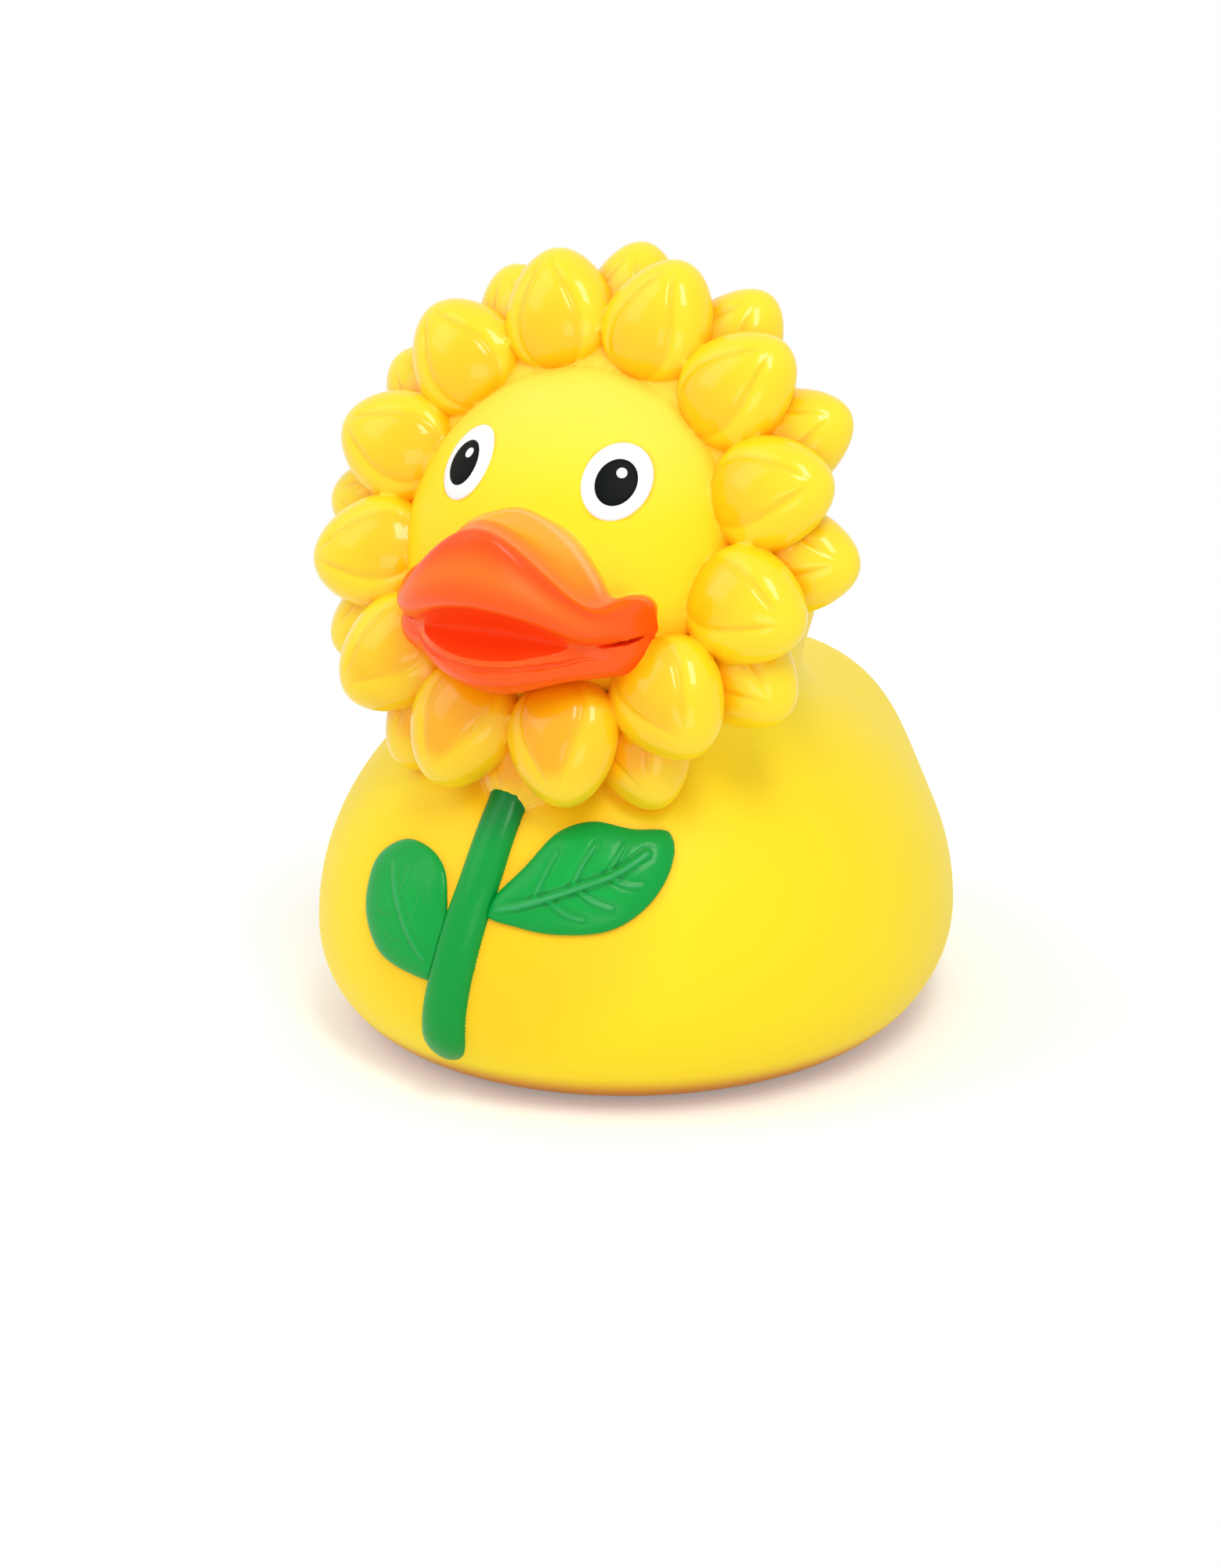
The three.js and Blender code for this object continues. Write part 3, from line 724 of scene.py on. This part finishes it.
def petal_tree(around, rings):
    """A row of moulded petals round the face. Each is an egg with two creases that set off a panel."""
    tree = bpy.data.node_groups.new("petal_row", "GeometryNodeTree")
    inputs = {}
    for name, kind in (("Geometry", "NodeSocketGeometry"), ("Petals", "NodeSocketInt"),
                       *((n, "NodeSocketFloat") for n in (
                           "Root radius", "Tip radius", "Forward", "First clock", "Half width", "Half depth",
                           "Taper", "Panel share", "Crease depth", "Lower forward", "Lower drop")),
                       ("Material", "NodeSocketMaterial")):
        inputs[name] = tree.interface.new_socket(name, in_out="INPUT", socket_type=kind).identifier
    tree.interface.new_socket("Geometry", in_out="OUTPUT", socket_type="NodeSocketGeometry")
    t = Tree(tree)
    given = t.node("NodeGroupInput")
    given = {name: t.out(given, name) for name in inputs}

    grid = t.node("GeometryNodeMeshGrid", Size_X=1.0, Size_Y=1.0, Vertices_X=rings + 1,
                  Vertices_Y=around + 1)
    place = t.node("ShaderNodeSeparateXYZ", Vector=t.out(t.node("GeometryNodeInputPosition")))
    sweep = (t.out(place, "X") + 0.5) * math.pi
    turn = (t.out(place, "Y") + 0.5) * 4.0
    along = -sweep.cos()
    full = sweep.sin().maximum(0.0)
    width = given["Half width"] * full * (1 - given["Taper"] * along)
    depth = given["Half depth"] * full
    open_share = openness(along)
    crease = crease_share(given["Panel share"], open_share)
    # Turn runs 0 to 2 over the front, from one edge to the other, and 2 to 4 over the back.
    front = turn < 2.0
    q = 1 - turn
    far = abs(q)
    inner = (far / PANEL_TURN).minimum(1.0)
    outer = ((far - PANEL_TURN) / (1 - PANEL_TURN)).maximum(0.0)
    u_front = (crease * (1 - (1 - inner) ** 1.5)
               + (1 - crease) * ((outer ** 1.25) * (math.pi / 2)).sin())
    dome = (1 - u_front * u_front).maximum(0.0).sqrt()
    groove = given["Crease depth"] * (open_share * 3).minimum(1.0) * full
    line = (u_front - crease).bell(0.0, CREASE_WIDTH)
    bulge = (1 - (u_front / crease) ** 2).maximum(0.0) * open_share.minimum(1.0) * 0.05
    h_front = depth * (dome + bulge) - groove * line
    back_turn = (turn - 2) * (math.pi / 2)
    u = q.math("SIGN") * u_front * front - back_turn.cos() * (1 - front)
    h = h_front * front - back_turn.sin() * depth * 0.9 * (1 - front)
    half_length = (given["Tip radius"] - given["Root radius"]) / 2
    middle = (given["Tip radius"] + given["Root radius"]) / 2
    shaped = t.node("ShaderNodeCombineXYZ", X=width * u, Y=h, Z=middle + half_length * along)
    egg = t.node("GeometryNodeSetPosition", Geometry=t.out(grid), Position=t.out(shaped))
    welded = t.node("GeometryNodeMergeByDistance", Geometry=t.out(egg), Distance=0.004)

    # Petals stand round a circle and hang forward over the chest below.
    spots = t.node("GeometryNodePoints", Count=given["Petals"])
    index = t.out(t.node("GeometryNodeInputIndex"))
    clock = (index + given["First clock"]) / given["Petals"] * (2 * math.pi)
    hang = hang_share(clock.cos())
    spot = t.node("ShaderNodeCombineXYZ", Y=given["Forward"] + given["Lower forward"] * hang,
                  Z=0 - given["Lower drop"] * hang)
    spots = t.node("GeometryNodeSetPosition", Geometry=t.out(spots), Position=t.out(spot))
    facing = t.node("ShaderNodeCombineXYZ", Y=clock)
    placed = t.node("GeometryNodeInstanceOnPoints", Points=t.out(spots), Instance=t.out(welded))
    turned = t.node("FunctionNodeEulerToRotation", Euler=t.out(facing))
    tree.links.new(turned.outputs[0], placed.inputs["Rotation"])
    real = t.node("GeometryNodeRealizeInstances", Geometry=t.out(placed))
    done = t.node("GeometryNodeSetMaterial", Geometry=t.out(real), Material=given["Material"])
    tree.links.new(done.outputs[0], t.node("NodeGroupOutput").inputs[0])
    return tree, inputs


def petal_row(tree, inputs, sizes, material):
    """The petals of one row as separate solids, ready to be joined."""
    holder = bpy.data.objects.new("petal_row", bpy.data.meshes.new("petal_row"))
    bpy.context.scene.collection.objects.link(holder)
    modifier = holder.modifiers.new("petals", "NODES")
    modifier.node_group = tree
    for name, value in {**PETAL, **sizes, "Material": material}.items():
        modifier[inputs[name]] = value
    evaluated = holder.evaluated_get(bpy.context.evaluated_depsgraph_get())
    mesh = bpy.data.meshes.new_from_object(evaluated)
    holder.modifiers.remove(modifier)
    points = np.zeros(len(mesh.vertices) * 3)
    mesh.vertices.foreach_get("co", points)
    points = points.reshape(-1, 3)
    centre = HEAD_CENTRE + FACE_UP * MANE_RISE
    points = centre + points @ np.array([SIDEWAYS, FACE_FORWARD, FACE_UP])
    faces = [tuple(p.vertices) for p in mesh.polygons]
    bpy.data.objects.remove(holder)
    each = len(points) // PETAL["Petals"]
    each_faces = len(faces) // PETAL["Petals"]
    made = []
    for k in range(PETAL["Petals"]):
        own = [tuple(v - k * each for v in f) for f in faces[k * each_faces:(k + 1) * each_faces]]
        made.append(piece(f"petal_{k}", points[k * each:(k + 1) * each], own, material))
    return made


# Joining


def joined(name, start, added, cut):
    """One closed skin: everything that is added, less what is cut."""
    for operand, operation in [*((o, "UNION") for o in added), *((o, "DIFFERENCE") for o in cut)]:
        modifier = start.modifiers.new("join", "BOOLEAN")
        modifier.solver = "MANIFOLD"
        modifier.material_mode = "TRANSFER"
        modifier.operation = operation
        modifier.object = operand
    evaluated = start.evaluated_get(bpy.context.evaluated_depsgraph_get())
    mesh = bpy.data.meshes.new_from_object(evaluated)
    mesh.name = name
    for o in [start, *added, *cut]:
        bpy.data.objects.remove(o)
    made = bpy.data.objects.new(name, mesh)
    bpy.context.scene.collection.objects.link(made)
    return made


def read(mesh, name, domain="vertices", width=3, kind=float):
    values = np.zeros(len(getattr(mesh, domain)) * width, kind)
    getattr(mesh, domain).foreach_get(name, values)
    return values.reshape(-1, width)


def mean_of_neighbours(edges, values):
    total = np.zeros_like(values)
    np.add.at(total, edges[:, 0], values[edges[:, 1]])
    np.add.at(total, edges[:, 1], values[edges[:, 0]])
    count = np.bincount(edges.ravel(), minlength=len(values)).reshape(-1, *[1] * (values.ndim - 1))
    return total / np.maximum(count, 1)


def soften_seams(mesh, crisp):
    """Rounds the seams where moulded forms meet. The crisp finishes keep their edges."""
    edges = read(mesh, "vertices", "edges", 2, np.int32)
    part = np.zeros(len(mesh.polygons), np.int32)
    mesh.attributes["part"].data.foreach_get("value", part)
    finish = read(mesh, "material_index", "polygons", 1, np.int32).ravel()
    names = [m.name for m in mesh.materials]
    kept = np.isin(finish, [names.index(m.name) for m in crisp])
    corner_face = np.repeat(np.arange(len(part)), read(mesh, "loop_total", "polygons", 1, np.int32).ravel())
    corner_edge = read(mesh, "edge_index", "loops", 1, np.int32).ravel()
    low = np.full(len(edges), 1 << 30)
    high = np.full(len(edges), -1)
    np.minimum.at(low, corner_edge, part[corner_face])
    np.maximum.at(high, corner_edge, part[corner_face])
    beside = np.zeros(len(edges), bool)
    np.logical_or.at(beside, corner_edge, kept[corner_face])
    seam = np.unique(edges[(low != high) & ~beside])
    points = read(mesh, "co")
    near = kdtree.KDTree(len(seam))
    for v in seam:
        near.insert(points[v], int(v))
    near.balance()
    far = np.array([near.find(point)[2] for point in points]) / (SEAM_REACH * MM)
    pull = np.clip(1 - far, 0, 1)[:, None]
    held = np.zeros(len(points), bool)
    corner_vertex = read(mesh, "vertex_index", "loops", 1, np.int32).ravel()
    held[corner_vertex[kept[corner_face]]] = True
    held |= points[:, 2] < 0.05 * MM
    pull[held] = 0
    for _ in range(SEAM_PASSES):
        normals = read(mesh, "vector", "vertex_normals")
        move = mean_of_neighbours(edges, points) - points
        points += 0.5 * pull * normals * (move * normals).sum(1, keepdims=True)
        mesh.vertices.foreach_set("co", points.ravel())
        mesh.update()


def settle(mesh):
    """Eases the last stretch of each side in by the little that fine facets stand past the coarse solid."""
    points = read(mesh, "co")
    for axis in range(3):
        for side, limit in ((-1, cad_box[0][axis]), (1, cad_box[1][axis])):
            reach = points[:, axis] * side
            past = reach.max() - limit * side
            if past > 0:
                share = eased_step(reach, limit * side - SETTLE_REACH * MM, limit * side)
                points[:, axis] -= side * past * share
    mesh.vertices.foreach_set("co", points.ravel())
    mesh.update()


def mark_recesses(mesh):
    """Writes how closed in each point is, from 0 in the open to 1 in a crease. The finishes paint shade into
    folds and creases from it.
    """
    points = read(mesh, "co")
    normals = read(mesh, "vector", "vertex_normals")
    edges = read(mesh, "vertices", "edges", 2, np.int32)
    cast = BVHTree.FromPolygons(points.tolist(), [tuple(p.vertices) for p in mesh.polygons]).ray_cast
    spread = []
    for i in range(RECESS_RAYS):
        rise = (i + 0.5) / RECESS_RAYS
        turn = i * math.pi * (3 - math.sqrt(5))
        reach = math.sqrt(1 - rise * rise)
        spread.append((reach * math.cos(turn), reach * math.sin(turn), rise))
    tilted = np.where(np.abs(normals[:, 2:3]) < 0.9, (0.0, 0.0, 1.0), (1.0, 0.0, 0.0))
    first = np.cross(normals, tilted)
    first /= np.maximum(np.linalg.norm(first, axis=1, keepdims=True), 1e-9)
    second = np.cross(normals, first)
    blocked = np.zeros(len(points))
    starts = [Vector(v) for v in points + normals * RECESS_START * MM]
    reach = RECESS_REACH * MM
    for x, y, z in spread:
        ways = first * x + second * y + normals * z
        for i, (start, way) in enumerate(zip(starts, ways)):
            distance = cast(start, Vector(way), reach)[3]
            if distance is not None:
                blocked[i] += 1 - distance / reach
    blocked /= len(spread)
    for _ in range(RECESS_PASSES):
        blocked = (blocked + mean_of_neighbours(edges, blocked)) / 2
    mark = mesh.attributes.new("recess", "FLOAT", "POINT")
    mark.data.foreach_set("value", blocked)


# Finishes


def colour(code):
    """A paint's colour from its hexadecimal code."""
    shades = [int(code[i:i + 2], 16) / 255 for i in (0, 2, 4)]
    return (*(c / 12.92 if c <= 0.04045 else ((c + 0.055) / 1.055) ** 2.4 for c in shades), 1.0)


class Finish(Tree):
    """The node tree of one paint or plastic."""

    def __init__(self, name):
        self.material = bpy.data.materials.new(name)
        self.material.use_nodes = True
        self.material.node_tree.nodes.clear()
        super().__init__(self.material.node_tree)
        self.place = self.out(self.node("ShaderNodeTexCoord"), "Object")

    def along(self, way, start):
        """Millimetres along a direction from a starting point."""
        off = self.node("ShaderNodeVectorMath", {"operation": "DOT_PRODUCT"}, i0=self.place,
                        i1=tuple(np.asarray(way) / MM))
        return self.out(off, "Value") - float(np.dot(way, start))

    def noise(self, scale, detail=2.0):
        return self.out(self.node("ShaderNodeTexNoise", Vector=self.place, Scale=scale, Detail=detail))

    def attribute(self, name):
        return self.out(self.node("ShaderNodeAttribute", {"attribute_name": name}), "Fac")

    def mixed(self, share, first, second):
        return self.out(self.node("ShaderNodeMix", {"data_type": "RGBA"}, i0=share, i6=first, i7=second), 2)

    def finish(self, base, roughness, height, depth, **more):
        """The shader with its colour, roughness and a bump of a depth in millimetres."""
        bump = self.node("ShaderNodeBump", Height=height, Distance=depth * MM)
        shader = self.node("ShaderNodeBsdfPrincipled", Base_Color=base, Roughness=roughness,
                           Normal=self.out(bump), **more)
        self.node("ShaderNodeOutputMaterial", Surface=self.out(shader))
        return self.material


def vinyl_finish():
    """Matte soft vinyl with painted light and shade: a painted highlight paler over the top of the face,
    painted shade deeper under it, golden in its folds and brown along the foot.
    """
    f = Finish("yellow_vinyl")
    cloud = f.noise(38.0)
    base = f.mixed(cloud, colour("FFE41A"), colour("FFE00E"))
    height = f.along(FACE_UP, HEAD_CENTRE)
    face = f.along(FACE_FORWARD, HEAD_CENTRE).ramp(8.0, 14.0)
    # Painted highlight: the top of the face is paler, as if lit from above.
    base = f.mixed(face * height.ramp(2.0, 18.0) * 0.8, base, colour("FFEC5C"))
    # Painted shade: the lower face, under the bill, is deeper gold.
    base = f.mixed(face * height.ramp(-4.0, -20.0) * 0.7, base, colour("FFC808"))
    # Painted shade: golden where the skin is closed in, in folds and creases.
    painted_fold_shade = f.attribute("recess").ramp(0.12, 0.6)
    base = f.mixed(painted_fold_shade * 0.7, base, colour("FFB400"))
    # Painted shade: brown along the foot, where the body turns under towards the floor.
    foot = f.along((0, 0, 1), (0, 0, 0)).ramp(5.2, 1.8)
    base = f.mixed(foot * 0.9, base, colour("D07A06"))
    return f.finish(base, 0.42 + cloud * 0.1, f.noise(1400.0, 3.0), 0.02, Specular_IOR_Level=0.3)


def petal_finish(name, row):
    """Glossier yellow with painted shade: a panel that deepens to gold towards the root, gold in the two
    creases and in folds, and deeper gold on the petals low under the chin. Pale towards the tips.
    """
    f = Finish(name)
    centre = HEAD_CENTRE + FACE_UP * MANE_RISE
    side, up = f.along(SIDEWAYS, centre), f.along(FACE_UP, centre)
    turns = side.math("ARCTAN2", up) * (PETAL["Petals"] / (2 * math.pi)) - row["First clock"]
    off = (turns - turns.math("ROUND")) * (2 * math.pi / PETAL["Petals"])
    radius = (side * side + up * up).sqrt()
    half_length = (row["Tip radius"] - row["Root radius"]) / 2
    along = (radius * off.cos() - (row["Tip radius"] + row["Root radius"]) / 2) / half_length
    full = (1 - along * along).maximum(0.03).sqrt()
    across = abs(radius * off.sin()) / (full * (1 - PETAL["Taper"] * along) * PETAL["Half width"])
    open_share = openness(along)
    crease = crease_share(PETAL["Panel share"], open_share)
    middle = row["Forward"] + hang_share(up / radius) * PETAL["Lower forward"]
    front = (f.along(FACE_FORWARD, centre) - middle).ramp(-0.6, 0.6)
    line = (across - crease).bell(0.0, CREASE_WIDTH) * (open_share * 3).minimum(1.0) * front
    panel = (across - crease).ramp(0.04, -0.12) * open_share.ramp(0.0, 0.4) * front
    painted_fold_shade = f.attribute("recess").ramp(0.14, 0.62)
    under = up.ramp(-12.0, -27.0)
    # Painted shade: the panel deepens to gold towards the root.
    base = f.mixed(panel * along.ramp(0.8, -0.6) * 0.8, colour("FFDC18"), colour("FFC402"))
    # Painted shade: gold along the two creases.
    base = f.mixed(line * 0.4, base, colour("FFBC00"))
    # Painted shade: petals low under the chin are deeper gold, most on their panels.
    base = f.mixed(under * (panel * 0.55 + 0.3), base, colour("F6A400"))
    # Painted shade: golden where the petals are closed in.
    base = f.mixed(painted_fold_shade * 0.65, base, colour("FFAA00"))
    base = f.mixed(along.ramp(0.5, 1.0) * 0.4, base, colour("FFE92E"))
    return f.finish(base, 0.22 + f.noise(60.0) * 0.1 + painted_fold_shade * 0.1, f.noise(900.0, 2.0), 0.012,
                    Specular_IOR_Level=0.18, Coat_Weight=0.5, Coat_Roughness=0.05)


def bill_finish():
    """Orange paint faded into the face at the brow, with painted light and shade: deeper under the lip's
    crest and in folds, lighter across the lobe and over the saddle, and painted highlights along the crest
    and the brow's rim.
    """
    f = Finish("bill_orange")
    start = HEAD_CENTRE + BILL_FORWARD * BILL_ROOT_FORWARD - BILL_UP * MOUTH_DROP
    side, forward, up = (f.along(way, start) for way in (SIDEWAYS, BILL_FORWARD, BILL_UP))
    sine, cosine = side / BILL_HALF_WIDTH, forward / BILL_LENGTH
    share = (sine * sine + cosine * cosine).sqrt()
    degrees = abs(sine.math("ARCTAN2", cosine)) * (180 / math.pi)
    wave = lip_wave(degrees)
    above = (up - wave) / lip_crest(degrees)
    inward = share / crest_share(degrees)
    saddle = inward.ramp(1.04, 0.9) * above.ramp(0.35, 0.6)
    painted_light_band = above.bell(0.5, 0.2) * (1 - saddle) * degrees.ramp(80.0, 20.0)
    rim = inward.bell(1.0, 0.04) * above.ramp(0.7, 0.95)
    painted_crest_shade = above.bell(0.84, 0.12) * (1 - saddle) * degrees.ramp(85.0, 45.0)
    base = f.mixed((up - wave).ramp(-0.6, 0.2), colour("FF5C0A"), colour("FF5A08"))
    # Painted shade: a deeper band just under the lip's crest.
    base = f.mixed(painted_crest_shade * 0.5, base, colour("FF4400"))
    # Painted light: a lighter band across the front of the lobe.
    base = f.mixed(painted_light_band * 0.5, base, colour("FF8424"))
    # Painted light: the saddle, which faces up, is lighter orange, palest near the brow.
    base = f.mixed(saddle, base, colour("FF9018"))
    base = f.mixed(saddle * inward.ramp(0.95, 0.7), base, colour("FFAC36"))
    # Painted highlight: a pale line along the lip's crest.
    base = f.mixed(rim * 0.4, base, colour("FFB070"))
    out = [f.along(way, HEAD_CENTRE) for way in (SIDEWAYS, FACE_FORWARD, FACE_UP)]
    off = (out[0] * out[0] + out[1] * out[1] + out[2] * out[2]).sqrt() - HEAD_RADIUS
    fade = off.ramp(0.55, 0.0) * up.ramp(1.0, 3.5) * 0.7
    base = f.mixed(fade, base, colour("FFD21C"))
    edge = off.bell(0.75, 0.3) * up.ramp(2.0, 5.0) * degrees.ramp(120.0, 80.0)
    # Painted highlight: a pale line along the brow's rim.
    base = f.mixed(edge * 0.5, base, colour("FFC890"))
    painted_fold_shade = f.attribute("recess").ramp(0.2, 0.7)
    # Painted shade: deeper red-orange where the bill is closed in.
    base = f.mixed(painted_fold_shade * 0.5 * (1 - fade), base, colour("FF4200"))
    return f.finish(base, 0.28 + f.noise(80.0) * 0.08, f.noise(1100.0, 2.0), 0.012, Specular_IOR_Level=0.22,
                    Coat_Weight=0.1, Coat_Roughness=0.12)


def mouth_finish():
    """The red-orange paint inside the open bill."""
    f = Finish("mouth_red")
    base = f.mixed(f.noise(70.0), colour("FF4E0C"), colour("FF4606"))
    return f.finish(base, 0.5 + f.noise(120.0) * 0.08, f.noise(1100.0, 2.0), 0.015, Specular_IOR_Level=0.2)


def leaf_finish(name, first, second):
    """Half-gloss green with painted light and shade: painted highlights lighter on the raised ribs and
    veins, and painted shade dark in the carved grooves beside them, in folds and near the stem's top under
    the mane.
    """
    f = Finish(name)
    cloud = f.noise(55.0)
    carved = f.attribute("carved")
    painted_fold_shade = f.attribute("recess").ramp(0.25, 0.7)
    base = f.mixed(cloud, colour(first), colour(second))
    # Painted highlight: the raised ribs and veins are pale green.
    base = f.mixed(carved.ramp(0.03, 0.14) * 0.7, base, colour("62DE96"))
    # Painted shade: the carved grooves beside them are dark.
    base = f.mixed(carved.ramp(-0.03, -0.15) * 0.7, base, colour("04782C"))
    # Painted shade: dark green where the leaf and stem are closed in.
    base = f.mixed(painted_fold_shade * 0.6, base, colour("04782C"))
    # Painted shade: darker near the top of the stem, under the mane.
    top = f.along((0, 0, 1), (0, 0, 0)).ramp(29.0, 34.0) * abs(f.along(SIDEWAYS, (0, 0, 0))).ramp(5.0, 3.5)
    base = f.mixed(top * 0.7, base, colour("06682C"))
    return f.finish(base, 0.26 + cloud * 0.1, f.noise(1000.0, 2.0), 0.012, Specular_IOR_Level=0.14,
                    Coat_Weight=0.12, Coat_Roughness=0.1)


def eye_finish(name, first, second, specular):
    f = Finish(name)
    base = f.mixed(f.noise(90.0), colour(first), colour(second))
    return f.finish(base, 0.36 + f.noise(150.0) * 0.08, f.noise(1000.0, 2.0), 0.008,
                    Specular_IOR_Level=specular)


vinyl = vinyl_finish()
back_paint = petal_finish("petal_gloss_back", BACK_ROW)
front_paint = petal_finish("petal_gloss_front", FRONT_ROW)
bill_paint = bill_finish()
mouth_paint = mouth_finish()
leaf_paint = leaf_finish("leaf_green", "00C64E", "04CE56")
stem_paint = leaf_finish("stem_green", "009636", "029E3E")
white_paint = eye_finish("eye_white", "F8F8F8", "F2F3F3", 0.3)
black_paint = eye_finish("eye_black", "060B07", "0A100B", 0.06)

tree, inputs = petal_tree(*PETAL_GRID)
back_petals = petal_row(tree, inputs, BACK_ROW, back_paint)
front_petals = petal_row(tree, inputs, FRONT_ROW, front_paint)
bpy.data.node_groups.remove(tree)

beak = joined("beak", bill(bill_paint), [], [mouth(mouth_paint), lip_groove(bill_paint)])
skin = joined("duck_skin", ringed_form("form", FORM_GRID, 0.0, vinyl),
              [mane_bed(vinyl), *back_petals, *front_petals, beak, *eyes(white_paint, black_paint),
               stem(stem_paint), leaf("leaf_left", LEFT_LEAF, LEFT_MIDRIB, LEFT_VEINS, 0.45, leaf_paint),
               leaf("leaf_right", RIGHT_LEAF, RIGHT_MIDRIB, RIGHT_VEINS, 1.0, leaf_paint)],
              [ringed_form("hollow", HOLLOW_GRID, -WALL, vinyl), vent(vinyl)])
soften_seams(skin.data, [white_paint, black_paint])
settle(skin.data)
mark_recesses(skin.data)
for p in skin.data.polygons:
    p.use_smooth = True
skin.data.set_sharp_from_angle(angle=CRISP_ANGLE)
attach(skin, "root")
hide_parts("duck")


# Studio


def direction(azimuth, elevation):
    """The way from the duck to a place round it, at angles in radians."""
    return Vector((math.sin(azimuth) * math.cos(elevation), -math.cos(azimuth) * math.cos(elevation),
                   math.sin(elevation)))


def camera():
    back = direction(CAMERA_AZIMUTH, CAMERA_ELEVATION)
    data = bpy.data.cameras.new("camera")
    data.lens = 95.56
    data.sensor_width = 36
    data.shift_x = -0.014
    data.shift_y = -0.0745
    made = bpy.data.objects.new("camera", data)
    made.location = Vector((0, 0, CAMERA_TARGET_HEIGHT)) + back * CAMERA_DISTANCE
    made.rotation_mode = "QUATERNION"
    made.rotation_quaternion = (-back).to_track_quat("-Z", "Y")
    bpy.context.scene.collection.objects.link(made)
    bpy.context.scene.camera = made


def softbox(name, azimuth, elevation, distance, width, height, power):
    way = direction(math.radians(azimuth), math.radians(elevation))
    data = bpy.data.lights.new(name, "AREA")
    data.shape = "RECTANGLE"
    data.size = width
    data.size_y = height
    data.energy = power
    made = bpy.data.objects.new(name, data)
    made.location = Vector((0, 0, 0.045)) + way * distance
    made.rotation_mode = "QUATERNION"
    made.rotation_quaternion = (-way).to_track_quat("-Z", "Y")
    bpy.context.scene.collection.objects.link(made)


def studio():
    world = bpy.data.worlds.new("studio")
    bpy.context.scene.world = world
    world.use_nodes = True
    world.node_tree.nodes.clear()
    t = Tree(world.node_tree)
    strength = t.seen() * (1 - AMBIENT) + AMBIENT
    background = t.node("ShaderNodeBackground", Color=(1, 1, 1, 1), Strength=strength)
    t.node("ShaderNodeOutputWorld", Surface=t.out(background))

    # The floor takes the shadow near the duck and runs out to plain white.
    side = 3.0
    mesh = bpy.data.meshes.new("floor")
    corners = [(-side, -side, 0), (side, -side, 0), (side, side, 0), (-side, side, 0)]
    mesh.from_pydata(corners, [], [(0, 1, 2, 3)])
    floor = bpy.data.objects.new("floor", mesh)
    bpy.context.scene.collection.objects.link(floor)
    f = Finish("floor_white")
    radius = f.out(f.node("ShaderNodeVectorMath", {"operation": "LENGTH"}, i0=f.place), "Value") / MM
    seen = f.seen()
    matte = f.node("ShaderNodeBsdfDiffuse", Color=(FLOOR_SHADE, FLOOR_SHADE, FLOOR_SHADE, 1))
    lift = f.node("ShaderNodeEmission", Color=(1, 1, 1, 1), Strength=seen * FLOOR_LIFT)
    near = f.node("ShaderNodeAddShader", i0=f.out(matte), i1=f.out(lift))
    white = f.node("ShaderNodeEmission", Color=(1, 1, 1, 1), Strength=1.0)
    both = f.node("ShaderNodeMixShader", i0=seen * radius.ramp(*SHADOW_REACH), i1=f.out(near),
                  i2=f.out(white))
    f.node("ShaderNodeOutputMaterial", Surface=f.out(both))
    mesh.materials.append(f.material)

    softbox("key", 45, 58, 0.9, 0.24, 0.42, KEY_POWER)
    softbox("fill", -50, 42, 1.0, 0.5, 0.8, FILL_POWER)
    softbox("front", 22, 6, 1.1, 0.6, 0.5, FRONT_POWER)


camera()
studio()
bpy.context.scene.view_settings.view_transform = "Standard"
